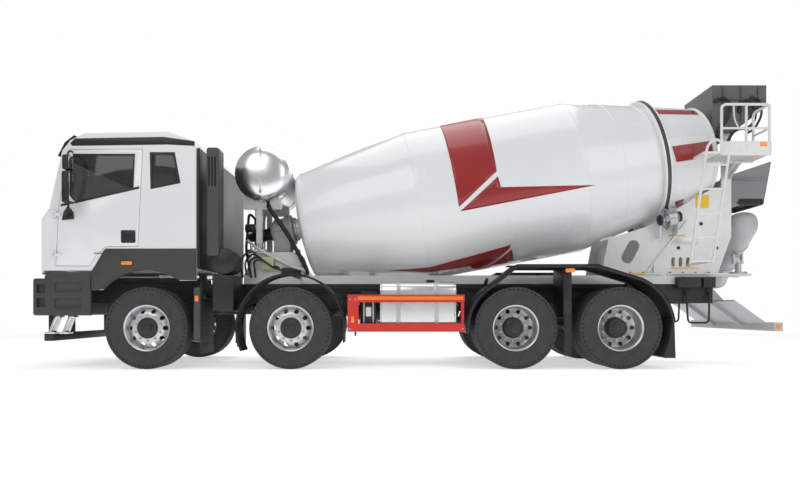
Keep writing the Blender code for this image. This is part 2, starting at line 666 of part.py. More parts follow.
def steering_wheel():
    """Rim, three spokes and a hub that meets the end of the column."""
    ring = [(STEER_RADIUS + 0.015 * math.cos(angle), 0.015 * math.sin(angle))
            for angle in [-math.tau * step / 6 for step in range(6)]]
    shapes = [baked(turned(ring, STEER_CENTRE, STEER_AXIS, 16)),
              rod(STEER_CENTRE - STEER_AXIS * (0.06 - THRUST), STEER_CENTRE + STEER_AXIS * 0.02,
                  0.045)]
    frame = aim(STEER_CENTRE, STEER_AXIS)
    for angle in (30.0, 150.0, 270.0):
        turn = math.radians(angle)
        tip = Vector((math.cos(turn), math.sin(turn), 0)) * STEER_RADIUS
        shapes.append(rod(STEER_CENTRE, frame @ tip, 0.010, 6))
    return piece("steering_wheel", fuse(shapes), "charcoal_plastic", STEER_CENTRE)


def front_bumper():
    """Bumper with its side panels, the under-run beam and the beam's hangers."""
    back = FRAME_X[0] - SEAT
    low, high = RAIL_Z - 0.17, RAIL_TOP + 0.04
    shapes = [block((FRONT_X, back), (-CAB_SIDE, CAB_SIDE), (low, high)),
              block((FRONT_X + 0.10, back), (-1.15, 1.15), (TYRE_RADIUS - 0.17, TYRE_RADIUS - 0.07))]
    for side in (-1, 1):
        shapes.append(block((back - 0.05, AXLE_X[0] - 0.71), side_span(side, CAB_SIDE - 0.05, CAB_SIDE),
                            (low, FLOOR_Z - 0.03)))
        for y in (0.52, 1.02):
            shapes.append(block((FRONT_X + 0.12, back - 0.02), side_span(side, y, y + 0.06),
                                (TYRE_RADIUS - 0.08, low + 0.01)))
    return piece("front_bumper", fuse(shapes), "charcoal_plastic")


def cab():
    """The cab and what is inside it and on it."""
    cab_shell()
    windscreen()
    for word, side in SIDES:
        cab_door(word, side)
    front_panel()
    seats()
    dashboard()
    steering_wheel()
    front_bumper()


# ---------------------------------------------------------------- guards and chassis fittings
GUARD_Y = BODY_HALF - 0.04
ARM_Z = (RAIL_TOP - 0.055, RAIL_TOP - 0.005)
FLAP_THICK = 0.012


def wing_flap(word, side):
    """Rubber flap behind a front wheel, its outer strip and the arm that holds both."""
    x = AXLE_X[0] + 0.69
    across = side_span(side, 0.66, BODY_HALF - 0.02)
    flap = block((x, x + FLAP_THICK), across, (0.19, RAIL_TOP - 0.01))
    strip = block((x - 0.08, x + 0.002), side_span(side, BODY_HALF - 0.06, BODY_HALF - 0.01),
                  (0.38, RAIL_TOP - 0.08))
    arm = block((x + 0.005, x + 0.045), side_span(side, RAIL_HALF + SEAT, BODY_HALF - 0.10), ARM_Z)
    piece(f"wing_flap_{word}", fuse([flap, strip, arm]), "flap_rubber")


def middle_mudguard(word, side):
    """Arc over the second axle's wheel with its two flaps and its arm."""
    x, z, radius = AXLE_X[1], TYRE_RADIUS, TYRE_RADIUS + 0.19
    points = arc((x, z), radius, 10, 170, 12) + arc((x, z), radius - 0.02, 170, 10, 12)
    across = side_span(side, 0.84, BODY_HALF)
    shapes = [outline(points, "Y", *across)]
    for end in (-1, 1):
        at = sorted((x + end * (radius - 0.027), x + end * (radius - 0.012)))
        shapes.append(block(at, across, (0.33, z + 0.16)))
    shapes.append(block((x - 0.03, x + 0.03), side_span(side, RAIL_HALF + SEAT, 0.90), ARM_Z))
    shapes.append(block((x - 0.03, x + 0.03), side_span(side, 0.85, 0.90),
                        (ARM_Z[0], z + radius - 0.01)))
    piece(f"middle_mudguard_{word}", fuse(shapes), "black_steel")


def rear_mudguard(word, side):
    """One long guard over both driven axles, with fascia, flaps and arms."""
    z, top = TYRE_RADIUS, TYRE_RADIUS + 0.83
    front, rear = AXLE_X[2], AXLE_X[3]
    skin = ([(front - 0.645, z + 0.08), (front - 0.625, z + 0.40)]
            + arc((front, z), 0.80, 135, 100, 3) + [(front + 0.02, top), (rear + 0.10, top)]
            + arc((rear, z), 0.81, 76, 48, 3) + [(rear + 0.646, z + 0.41), (rear + 0.70, z + 0.03)])
    reach = side_span(side, RAIL_HALF + 0.19, BODY_HALF)
    lip = side * (BODY_HALF - 0.015)
    under = sorted((side * (RAIL_HALF + 0.14), lip))
    guard = cut(outline(skin, "Y", *reach),
                [outline(hollow(skin, 0.02), "Y", *under),
                 outline(hollow(skin, 0.10), "Y",
                         *side_span(side, BODY_HALF - 0.04, BODY_HALF + 0.05))])
    middle = (front + rear) / 2
    wide = side_span(side, RAIL_HALF + 0.215, BODY_HALF - 0.005)
    shapes = [guard,
              block((middle - 0.005, middle + 0.005), wide, (0.36, top - 0.01)),
              block((rear + 0.670, rear + 0.670 + FLAP_THICK), wide, (0.14, z + 0.20)),
              block((middle - 0.035, middle + 0.035), side_span(side, RAIL_HALF + SEAT, RAIL_HALF + 0.26),
                    ARM_Z),
              block((middle - 0.03, middle + 0.03), side_span(side, RAIL_HALF + 0.20, RAIL_HALF + 0.25),
                    (ARM_Z[0] + 0.01, top - 0.01))]
    piece(f"rear_mudguard_{word}", fuse(shapes), "black_steel")


def hollow(skin, wall):
    """The space under an arched skin, open at its foot."""
    inner = inset(skin, wall)
    first, last = inner[0], inner[-1]
    return [(first[0], skin[0][1] - 0.2)] + inner + [(last[0], skin[-1][1] - 0.2)]


GUARD_X = (AXLE_X[1] + TYRE_RADIUS + 0.205, AXLE_X[2] - TYRE_RADIUS - 0.13)
GUARD_Z = TYRE_RADIUS - 0.047


def side_guard(word, side):
    """Two side rails, their front plate and the arms back to the frame."""
    span = side_span(side, GUARD_Y, BODY_HALF - 0.01)
    low, high = GUARD_Z, GUARD_Z + GUARD_HEIGHT
    arm = (high - 0.08, high - 0.03)
    shapes = [block(GUARD_X, span, (high - 0.097, high)), block(GUARD_X, span, (low, low + 0.104)),
              block((GUARD_X[0], GUARD_X[0] + 0.14), span, (low + 0.01, high - 0.01))]
    for x in (GUARD_X[0] + 0.05, GUARD_X[1] - 0.045):
        shapes.append(block((x, x + 0.04), side_span(side, RAIL_HALF + SEAT, GUARD_Y + 0.01), arm))
        shapes.append(block((x, x + 0.04), side_span(side, GUARD_Y - 0.03, GUARD_Y + 0.01),
                            (low + 0.02, high - 0.05)))
    piece(f"side_guard_{word}", fuse(shapes), "red_paint")


TANK_Y = (0.55, GUARD_Y - 0.05)


def fuel_tank():
    """Rounded fuel tank on two brackets from the left rail."""
    x = GUARD_X[1] - 0.10 - FUEL_TANK_LENGTH
    low, high, corner = GUARD_Z + 0.01, RAIL_TOP - 0.005, 0.12
    y0, y1 = -TANK_Y[1], -TANK_Y[0]
    points = (arc((y1 - corner, high - corner), corner, 0, 90, 3)
              + arc((y0 + corner, high - corner), corner, 90, 180, 3)
              + arc((y0 + corner, low + corner), corner, 180, 270, 3)
              + arc((y1 - corner, low + corner), corner, 270, 360, 3))
    shapes = [outline(points, "X", x, x + FUEL_TANK_LENGTH)]
    for at in (x + 0.17, x + FUEL_TANK_LENGTH - 0.23):
        shapes.append(block((at, at + 0.06), (y1 - 0.02, -RAIL_HALF - SEAT),
                            (RAIL_Z + 0.02, RAIL_TOP - 0.13)))
    shapes.append(rod((x + 0.66, y0 + 0.20, high - 0.01), (x + 0.66, y0 + 0.20, high + 0.03), 0.05))
    return piece("fuel_tank", fuse(shapes), "aluminium")


def battery_box():
    """Box ahead of the fuel tank, on a bracket from the left rail."""
    x = GUARD_X[1] - 0.10 - FUEL_TANK_LENGTH - 0.05
    y = (-TANK_Y[1] + 0.02, -TANK_Y[0])
    box_z = (GUARD_Z + 0.10, GUARD_Z + 0.52)
    shapes = [block((x - 0.20, x), y, box_z),
              block((x - 0.15, x - 0.05), (y[1] - 0.02, -RAIL_HALF - SEAT), (RAIL_Z + 0.02, RAIL_Z + 0.10))]
    return piece("battery_box", fuse(shapes), "charcoal_plastic")


def air_intake():
    """Intake column behind the cab, the round air cleaner and their bracket."""
    x = CAB_BACK + 0.12
    middle = x + 0.235
    z = RAIL_TOP + 0.16
    shapes = [block((x, x + 0.15), (-CAB_SIDE + 0.02, -0.86), (z - 0.02, FLOOR_TOP + 1.54)),
              rod((middle, -CAB_SIDE + 0.03, z), (middle, -0.74, z), 0.177, 20),
              block((middle - 0.14, middle + 0.13), (-CAB_SIDE + 0.05, -0.80), (z - 0.55, z - 0.05)),
              block((middle - 0.05, middle + 0.05), (-0.85, -RAIL_HALF - SEAT),
                    (RAIL_Z + 0.05, RAIL_TOP - 0.05))]
    return piece("air_intake", fuse(shapes), "grey_paint")


def rear_bumper():
    """Low rear bar on two sloping struts, with the splash panel between them."""
    x, z = FRAME_X[1] + 0.42, TYRE_RADIUS + 0.015
    tail = FRAME_X[1] + SEAT
    shapes = [block((x, x + 0.12), (-BODY_HALF + 0.05, BODY_HALF - 0.05), (z - 0.055, z + 0.055))]
    for side in (-1, 1):
        strut = [(tail, RAIL_TOP - 0.06), (tail, RAIL_Z - 0.02), (x + 0.02, z - 0.04),
                 (x + 0.02, z + 0.045)]
        shapes.append(outline(strut, "Y", *side_span(side, RAIL_HALF - 0.03, RAIL_HALF)))
    panel = [(tail + 0.01, RAIL_Z + 0.02), (x + 0.03, z + 0.02), (x + 0.03, z + 0.04),
             (tail + 0.01, RAIL_Z + 0.04)]
    shapes.append(outline(panel, "Y", -1.0, 1.0))
    return piece("rear_bumper", fuse(shapes), "silver_paint")


def chassis_fittings():
    """Everything bolted to the frame rails on both sides."""
    for word, side in SIDES:
        wing_flap(word, side)
        middle_mudguard(word, side)
        rear_mudguard(word, side)
        side_guard(word, side)
    fuel_tank()
    battery_box()
    air_intake()
    rear_bumper()


# ---------------------------------------------------------------- drum and its supports
def on_axis(station):
    """The point on the drum's axis at a distance behind its front head."""
    return DRUM_HEAD + DRUM_AXIS * station


STUB_RADIUS = 0.15
STUB_START = -0.18


def mixing_drum():
    """Hollow drum open at its rear mouth, with its drive stub and track ring."""
    radii = (DRUM_HEAD_RADIUS, DRUM_RADIUS, DRUM_MOUTH_RADIUS)
    cone_end = DRUM_FRONT_CONE
    barrel_end = cone_end + DRUM_BARREL
    slope = (radii[1] - radii[2]) / DRUM_REAR_CONE
    low, high = TRACK_STATION - TRACK_WIDTH / 2, TRACK_STATION + TRACK_WIDTH / 2
    outer = [(0.0, STUB_START), (STUB_RADIUS, STUB_START), (STUB_RADIUS, -0.095),
             (0.42, -0.065), (radii[0] - 0.02, 0.0), (radii[0], 0.03), (radii[1], cone_end),
             (radii[1], barrel_end), (radii[1] - slope * (low - barrel_end), low),
             (TRACK_RADIUS, low), (TRACK_RADIUS, high),
             (radii[1] - slope * (high - barrel_end), high), (radii[2], DRUM_LENGTH)]
    wall = DRUM_WALL
    inner = [(radii[2] - wall, DRUM_LENGTH), (radii[1] - wall, barrel_end),
             (radii[1] - wall, cone_end), (radii[0] - wall, 0.04), (0.0, -0.05)]
    shape = turned(outer + inner, DRUM_HEAD, DRUM_AXIS, DRUM_SIDES, closed=False)
    return piece("mixing_drum", baked(shape), "white_paint", DRUM_HEAD)


DRIVE_LENGTH = 0.34
DRIVE_RADIUS = 0.22


def drive_plate_z():
    """Top of the front pedestal, just under the drum drive's casing."""
    centre = on_axis(STUB_START - DRIVE_LENGTH / 2)
    return centre.z - DRIVE_RADIUS - 0.12


def drum_drive():
    """Drum gearbox with its motor and the foot that stands on the front pedestal."""
    end = STUB_START - THRUST
    centre = on_axis(end - DRIVE_LENGTH / 2)
    shapes = [rod(on_axis(end - DRIVE_LENGTH), on_axis(end), DRIVE_RADIUS, 20),
              rod(on_axis(end - DRIVE_LENGTH - 0.36), on_axis(end - DRIVE_LENGTH + 0.02), 0.10, 16),
              block((centre.x - 0.13, centre.x + 0.13), (-0.18, 0.18),
                    (drive_plate_z() + SEAT, centre.z - 0.05))]
    return piece("drum_drive", fuse(shapes), "grey_paint")


TANK_CENTRE = Vector((DRUM_HEAD_X - WATER_TANK_RADIUS - 0.155, 0, DRUM_HEAD_Z + 0.667))


TANK_SIDES = 24


def front_pedestal():
    """Shapes of the plates up to the drum drive and of the water tank's two cradles."""
    centre = on_axis(STUB_START - DRIVE_LENGTH / 2)
    top = drive_plate_z()
    low = SUB_TOP - 0.01
    front, rear = centre.x - 0.34, centre.x + 0.24
    side = [(front - 0.16, low), (rear + 0.12, low), (rear, top), (front, top)]
    shapes = [outline(side, "Y", *span) for span in ((-0.41, -0.385), (0.385, 0.41))]
    shapes.append(block((front, rear), (-0.40, 0.40), (top - 0.03, top)))
    cradle_x = TANK_CENTRE.x
    reach = WATER_TANK_RADIUS + 0.0002 + SEAT
    for y in ((-0.40, -0.33), (0.33, 0.40)):
        shapes.append(block((front + 0.02, front + 0.10), y, (top - 0.02, TANK_CENTRE.z - 0.42)))
        saddle = outline([(cradle_x - 0.30, TANK_CENTRE.z - 0.46), (cradle_x + 0.22, TANK_CENTRE.z - 0.46),
                          (cradle_x + 0.22, TANK_CENTRE.z - 0.30), (cradle_x - 0.30, TANK_CENTRE.z - 0.26)],
                         "Y", y[0] - 0.01, y[1] + 0.01)
        hold = rod((cradle_x, y[0] - 0.1, TANK_CENTRE.z), (cradle_x, y[1] + 0.1, TANK_CENTRE.z),
                   reach, TANK_SIDES)
        shapes.append(cut(saddle, [hold]))
    return shapes


def subframe():
    """The body's own rails on the frame, with cross members and the welded front pedestal."""
    reach = RAIL_HALF - 0.02
    shapes = []
    for side in (-1, 1):
        shapes.append(block(SUB_X, side_span(side, RAIL_INNER, RAIL_HALF), (SUB_Z, SUB_TOP)))
    count = 6
    for step in range(count):
        x = SUB_X[0] + 0.05 + (SUB_X[1] - SUB_X[0] - 0.20) * step / (count - 1)
        shapes.append(block((x, x + 0.10), (-reach, reach), (SUB_Z + 0.005, SUB_Z + 0.04)))
    return piece("subframe", fuse(shapes + front_pedestal()), "white_paint")


def water_tank():
    """Transverse water tank with domed ends and a filler neck."""
    half, radius = WATER_TANK_LENGTH / 2, WATER_TANK_RADIUS
    profile = [(0.0, half), (radius * 0.45, half - 0.03), (radius * 0.8, half - 0.09),
               (radius, half - 0.20), (radius, -half + 0.20), (radius * 0.8, -half + 0.09),
               (radius * 0.45, -half + 0.03), (0.0, -half)]
    body = baked(turned(profile, TANK_CENTRE, (0, 1, 0), TANK_SIDES, closed=False))
    neck = TANK_CENTRE + Vector((0, -0.25, radius - 0.03))
    body = combine(body, rod(neck, neck + Vector((0, 0, 0.07)), 0.07), "UNION")
    return piece("water_tank", body, "aluminium")


ROLLER_REACH = TRACK_RADIUS + ROLLER_RADIUS + RUN
ROLLER_WIDTH = 0.12
ROLLER_SHAFT = 0.11


def roller_centre(side):
    """Middle of the roller that carries the track ring on one side."""
    down = DRUM_DOWN * math.cos(ROLLER_ANGLE)
    across = Vector((0, side, 0)) * math.sin(ROLLER_ANGLE)
    return on_axis(TRACK_STATION) + (down + across) * ROLLER_REACH


def roller(word, side):
    """A steel roller on its short shaft."""
    half, shaft = ROLLER_WIDTH / 2, ROLLER_SHAFT
    profile = [(0.0, shaft), (0.035, shaft), (0.035, half), (ROLLER_RADIUS, half),
               (ROLLER_RADIUS, -half), (0.035, -half), (0.035, -shaft), (0.0, -shaft)]
    centre = roller_centre(side)
    shape = turned(profile, centre, DRUM_AXIS, 20, closed=False)
    return piece(f"roller_{word}", baked(shape), "cast_iron", centre)


PLATE_Y = (RAIL_HALF - 0.035, RAIL_HALF - 0.015)


def under_drum(station, y, gap):
    """Point (x, z) a gap below the drum's cone at a station, at a distance off the centre."""
    slope = (DRUM_RADIUS - DRUM_MOUTH_RADIUS) / DRUM_REAR_CONE
    radius = DRUM_RADIUS - slope * (station - DRUM_FRONT_CONE - DRUM_BARREL)
    depth = math.sqrt(radius ** 2 - y ** 2) + gap
    point = on_axis(station) + DRUM_DOWN * depth
    return (point.x, point.z)


# ---------------------------------------------------------------- rear end
TOWER_X = (BACK_X - 0.16, BACK_X - 0.02)
HOPPER_Z = DRUM_HEAD_Z + DRUM_LENGTH * math.sin(DRUM_TILT) + 0.20
CHUTE_X = BACK_X + 0.289
CHUTE_FALL = math.radians(38.0)
CHUTE_WAY = Vector((0, math.cos(CHUTE_FALL), -math.sin(CHUTE_FALL)))
CHUTE_UP = Vector((0, math.sin(CHUTE_FALL), math.cos(CHUTE_FALL)))
MOUTH_LIP = on_axis(DRUM_LENGTH) + DRUM_DOWN * DRUM_MOUTH_RADIUS
FUNNEL_LOW = MOUTH_LIP.z - 0.165
CHUTE_HEAD = Vector((CHUTE_X, 0, FUNNEL_LOW - 0.065 - CHUTE_RADIUS * math.sin(CHUTE_FALL)))
CHUTE_PIN = CHUTE_HEAD + CHUTE_WAY * 0.30 - CHUTE_UP * (CHUTE_RADIUS + 0.07)
SHELF_Z = CHUTE_PIN.z - 0.27


def hopper():
    """Open feed hopper whose spout reaches into the drum's mouth."""
    x, z, wall = TOWER_X[0], HOPPER_Z, 0.012
    front, back = x - 0.145, x + 0.615
    bowl = [(front, z + 0.67), (back, z + 0.67), (back, z + 0.37), (x + 0.135, z), (front, z)]
    room = [(front + wall, z + 0.75), (back - wall, z + 0.75), (back - wall, z + 0.376),
            (x + 0.130, z + wall), (front + wall, z + wall)]
    spout = [(x + 0.035, z + 0.17), (x + 0.155, z - 0.05), (x - 0.405, z - 0.25), (x - 0.405, z + 0.01)]
    passage = [(x + 0.035, z + 0.157), (x + 0.155, z - 0.037), (x - 0.465, z - 0.258),
               (x - 0.465, z - 0.025)]
    body = fuse([outline(bowl, "Y", -0.45, 0.45), outline(spout, "Y", -0.20, 0.20)])
    body = cut(body, [outline(room, "Y", -0.45 + wall, 0.45 - wall),
                      outline(passage, "Y", -0.20 + wall, 0.20 - wall)])
    return piece("hopper", body, "grey_paint")


FUNNEL_HALF = PLATE_Y[0] - SEAT


def discharge_funnel():
    """Open collector between drum mouth and chute, carried by the tower plates."""
    lip, low, wall = MOUTH_LIP, FUNNEL_LOW, 0.012
    start, mouth = lip.x - 0.085, lip.x + 0.345
    back = CHUTE_X + 0.145
    outer = [(start, lip.z - 0.085), (mouth, low), (back, low), (back + 0.11, lip.z + 0.45),
             (lip.x + 0.055, lip.z + 0.21), (lip.x + 0.03, lip.z - 0.01)]
    inner = [(start - 0.12, lip.z - 0.047), (mouth, low + wall), (mouth + wall, low - 0.1),
             (back - wall, low - 0.1), (back - wall, low), (back + 0.11 - wall, lip.z + 0.47),
             (start - 0.12, lip.z + 0.55)]
    half = FUNNEL_HALF
    body = cut(outline(outer, "Y", -half, half), [outline(inner, "Y", -half + wall, half - wall)])
    return piece("discharge_funnel", body, "silver_paint")


def chute_turntable():
    """Disc, post and fork that turn on the pedestal's shelf and hold the chute's pin."""
    pin = CHUTE_PIN
    base = Vector((CHUTE_X, 0, SHELF_Z + THRUST))
    up = Vector((0, 0, 1))
    shapes = [rod(base, base + up * 0.03, 0.12, 20), rod(base + up * 0.01, base + up * 0.17, 0.045)]
    across = (pin.y - 0.045, pin.y + 0.030)
    shapes.append(block((CHUTE_X - 0.075, CHUTE_X + 0.075), across, (pin.z - 0.12, pin.z - 0.08)))
    for side in (-1, 1):
        cheek = sorted((CHUTE_X + side * 0.0505, CHUTE_X + side * 0.072))
        shapes.append(block(cheek, (across[0] + 0.005, across[1] - 0.005),
                            (pin.z - 0.10, pin.z + 0.025)))
    return piece("chute_turntable", fuse(shapes), "silver_paint", (CHUTE_X, 0, SHELF_Z))


def chute():
    """Trough with a rounded head, and the lug and pin under it."""
    profile = [(CHUTE_RADIUS * math.cos(math.radians(a)), CHUTE_RADIUS * math.sin(math.radians(a)))
               for a in (-90, -72, -54, -36, -18, 0)]
    profile.append((CHUTE_RADIUS, CHUTE_LENGTH))
    shell = turned(profile, CHUTE_HEAD, CHUTE_WAY, 12, closed=False, angle=math.pi, roll=math.pi)
    wall = shell.modifiers.new("wall", "SOLIDIFY")
    wall.thickness = CHUTE_WALL
    wall.offset = 1.0
    body = baked(shell)
    root = CHUTE_PIN + CHUTE_UP * 0.078
    body = combine(body, rod(CHUTE_PIN, root, 0.028), "UNION")
    across = Vector((0.050, 0, 0))
    body = combine(body, rod(CHUTE_PIN - across, CHUTE_PIN + across, 0.022), "UNION")
    return piece("chute", body, "silver_paint", CHUTE_PIN)


LADDER_Y = -BODY_HALF + 0.10
PLATFORM_Z = HOPPER_Z - 0.46


def ladder():
    """Ladder, platform and railing on the left of the hopper, held by the tower plate."""
    foot_z, top_z = SUB_TOP + 0.12, PLATFORM_Z
    tower = TOWER_X[0]
    stiles = []
    for x, lean in ((tower - 0.76, 0.20), (tower - 0.47, 0.21)):
        stiles.append(((x, LADDER_Y, foot_z), (x + lean, LADDER_Y, top_z + 0.02)))
    shapes = [block((tower - 0.38, tower + 0.28), (LADDER_Y - 0.02, -0.72), (top_z, top_z + 0.03)),
              block((tower + 0.01, tower + 0.13), (-0.74, -PLATE_Y[1] - SEAT), (top_z + 0.002, top_z + 0.028)),
              block((tower - 0.38, tower + 0.28), (LADDER_Y - 0.02, LADDER_Y - 0.01), (top_z + 0.01, top_z + 0.16)),
              rod(stiles[0][0], stiles[0][1], 0.019, 6), rod(stiles[1][0], stiles[1][1], 0.019, 6)]
    bridge = stiles[0][1][0]
    shapes.append(block((bridge - 0.03, tower - 0.36), (LADDER_Y - 0.015, LADDER_Y + 0.30),
                        (top_z + 0.003, top_z + 0.027)))
    for step in range(5):
        share = 0.02 + step * 0.22
        ends = [Vector(low).lerp(Vector(high), share) for low, high in stiles]
        shapes.append(rod(ends[0], ends[1], 0.014, 6))
    arm = Vector(stiles[1][0]).lerp(Vector(stiles[1][1]), 0.02)
    shapes.append(block((arm.x - 0.02, arm.x + 0.02), (LADDER_Y - 0.005, -PLATE_Y[1] - SEAT),
                        (arm.z - 0.02, arm.z + 0.02)))
    rail_z, outer_y = top_z + 0.64, LADDER_Y - 0.005
    posts = (tower - 0.36, tower - 0.04, tower + 0.26)
    for x in posts:
        shapes.append(rod((x, outer_y, top_z + 0.02), (x, outer_y, rail_z), 0.016, 6))
    shapes.append(rod((posts[0] - 0.016, outer_y, rail_z), (posts[2] + 0.016, outer_y, rail_z), 0.017, 6))
    shapes.append(rod((posts[2], outer_y - 0.01, rail_z - 0.005), (posts[2], -0.74, rail_z - 0.005), 0.015, 6))
    shapes.append(rod((posts[2], -0.76, top_z + 0.02), (posts[2], -0.76, rail_z + 0.01), 0.016, 6))
    shapes.append(rod((posts[0], outer_y, top_z + 0.33), (posts[2], outer_y, top_z + 0.335), 0.013, 6))
    return piece("ladder", fuse(shapes), "white_paint")


def rear_pedestal():
    """Two side plates with the roller brackets, the chute's hinge lugs and their ties."""
    low = SUB_TOP + SEAT
    near = TRACK_STATION - 0.30
    foot_front = under_drum(near, PLATE_Y[1], 0)[0] - 0.58
    side = [(foot_front, low), (BACK_X - 0.22, low), (TOWER_X[1], low + 0.55),
            (TOWER_X[1], HOPPER_Z - SEAT), (TOWER_X[0], HOPPER_Z - SEAT),
            (TOWER_X[0], MOUTH_LIP.z + 0.05), under_drum(DRUM_LENGTH - 0.05, PLATE_Y[1], 0.06),
            under_drum(TRACK_STATION + 0.12, PLATE_Y[1], 0.10),
            under_drum(TRACK_STATION - 0.12, PLATE_Y[1], 0.14),
            under_drum(near - 0.02, PLATE_Y[1], 0.14), (foot_front + 0.10, low + 0.52)]
    shapes = []
    for sign in (-1, 1):
        plate = outline(side, "Y", *side_span(sign, *PLATE_Y))
        shapes.append(plate)
    reach = PLATE_Y[1] - 0.005
    shapes.append(block((BACK_X - 0.26, BACK_X - 0.24), (-reach, reach), (low + 0.01, low + 0.58)))
    shapes.append(block((BACK_X - 0.25, CHUTE_X + 0.13), (-0.13, 0.13), (SHELF_Z - 0.03, SHELF_Z)))
    gusset = [(BACK_X - 0.25, low + 0.02), (BACK_X - 0.25, SHELF_Z - 0.01), (CHUTE_X, SHELF_Z - 0.01),
              (CHUTE_X, SHELF_Z - 0.05)]
    shapes.append(outline(gusset, "Y", -0.02, 0.02))
    shapes.append(block((foot_front + 0.16, foot_front + 0.18), (-reach, reach), (low + 0.01, low + 0.42)))
    for sign in (-1, 1):
        centre = roller_centre(sign)
        for end in (-1, 1):
            face = centre + DRUM_AXIS * end * (ROLLER_SHAFT + THRUST)
            lug = rod(face, face + DRUM_AXIS * end * 0.025, 0.07, 12)
            arm_x = face.x + end * 0.013 * DRUM_AXIS.x
            arm = block((arm_x - 0.009, arm_x + 0.009), side_span(sign, PLATE_Y[0] + 0.005, abs(centre.y)),
                        (face.z - 0.25, face.z - 0.045))
            shapes += [lug, arm]
    return piece("rear_pedestal", fuse(shapes), "white_paint")


def mixer_body():
    """Drum, supports, tank and the pieces at the rear."""
    subframe()
    drum_drive()
    water_tank()
    mixing_drum()
    rear_pedestal()
    for word, side in SIDES:
        roller(word, side)
    hopper()
    discharge_funnel()
    chute_turntable()
    chute()
    ladder()


# ---------------------------------------------------------------- assembly
clear_scene()
TRUCK = collection("concrete_mixer_truck")
WORK = collection("working_shapes")
FINISHES = {name: finish(name, *values) for name, values in COLOURS.items()}
chassis_frame()
engine_block()
running_gear()
cab()
chassis_fittings()
mixer_body()
bpy.data.collections.remove(WORK)
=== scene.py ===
"""Looks of a concrete mixer truck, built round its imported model.

Metres, +X to the rear, +Y to the right side, +Z up, ground at zero.
"""
from __future__ import annotations

import json
import logging
import math
from dataclasses import dataclass, field
from enum import Enum
from typing import Iterable, Sequence

import bmesh
import bpy
from mathutils import Matrix, Vector

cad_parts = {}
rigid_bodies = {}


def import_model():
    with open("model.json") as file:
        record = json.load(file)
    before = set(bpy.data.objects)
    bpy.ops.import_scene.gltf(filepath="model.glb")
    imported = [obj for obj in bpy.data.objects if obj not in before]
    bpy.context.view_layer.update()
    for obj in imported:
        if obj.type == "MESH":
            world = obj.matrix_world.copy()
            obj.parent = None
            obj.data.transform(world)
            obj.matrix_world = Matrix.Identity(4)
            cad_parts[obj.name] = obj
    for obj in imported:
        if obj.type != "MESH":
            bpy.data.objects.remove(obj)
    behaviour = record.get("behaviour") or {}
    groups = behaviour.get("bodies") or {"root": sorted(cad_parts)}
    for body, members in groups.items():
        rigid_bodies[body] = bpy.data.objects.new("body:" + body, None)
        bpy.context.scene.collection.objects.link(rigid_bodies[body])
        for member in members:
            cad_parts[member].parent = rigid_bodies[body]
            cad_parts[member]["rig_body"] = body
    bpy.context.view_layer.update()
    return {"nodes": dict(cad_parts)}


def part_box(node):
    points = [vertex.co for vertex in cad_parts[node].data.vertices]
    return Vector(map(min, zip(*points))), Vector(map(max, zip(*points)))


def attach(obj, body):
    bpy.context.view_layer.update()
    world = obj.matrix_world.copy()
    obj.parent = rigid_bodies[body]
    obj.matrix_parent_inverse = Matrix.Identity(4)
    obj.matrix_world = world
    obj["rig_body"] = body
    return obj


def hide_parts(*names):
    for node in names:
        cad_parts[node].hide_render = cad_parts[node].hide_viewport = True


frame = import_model()

LOG = logging.getLogger("mixer_truck")
Point = Sequence[float]
Colour = tuple[float, float, float]
Span = tuple[float, float]
SIDES = (("left", -1), ("right", 1))


class Texture(Enum):
    """How a finish is broken up close to."""

    SPRAYED = "sprayed"
    MOULDED = "moulded"
    BRUSHED = "brushed"
    CAST = "cast"
    RUBBER = "rubber"
    WOVEN = "woven"
    POLISHED = "polished"
    LENS = "lens"


# scale of the pattern per metre, depth of the bump in metres, stretch along X
GRAINS: dict[Texture, tuple[float, float, Point]] = {
    Texture.SPRAYED: (160.0, 0.0001, (1, 1, 1)),
    Texture.MOULDED: (420.0, 0.00035, (1, 1, 1)),
    Texture.BRUSHED: (60.0, 0.00015, (1, 1, 22)),
    Texture.CAST: (150.0, 0.0009, (1, 1, 1)),
    Texture.RUBBER: (220.0, 0.0004, (1, 1, 1)),
    Texture.WOVEN: (380.0, 0.0008, (1, 1, 1)),
    Texture.POLISHED: (12.0, 0.00004, (1, 1, 1)),
    Texture.LENS: (150.0, 0.0006, (1, 0.05, 1)),
}


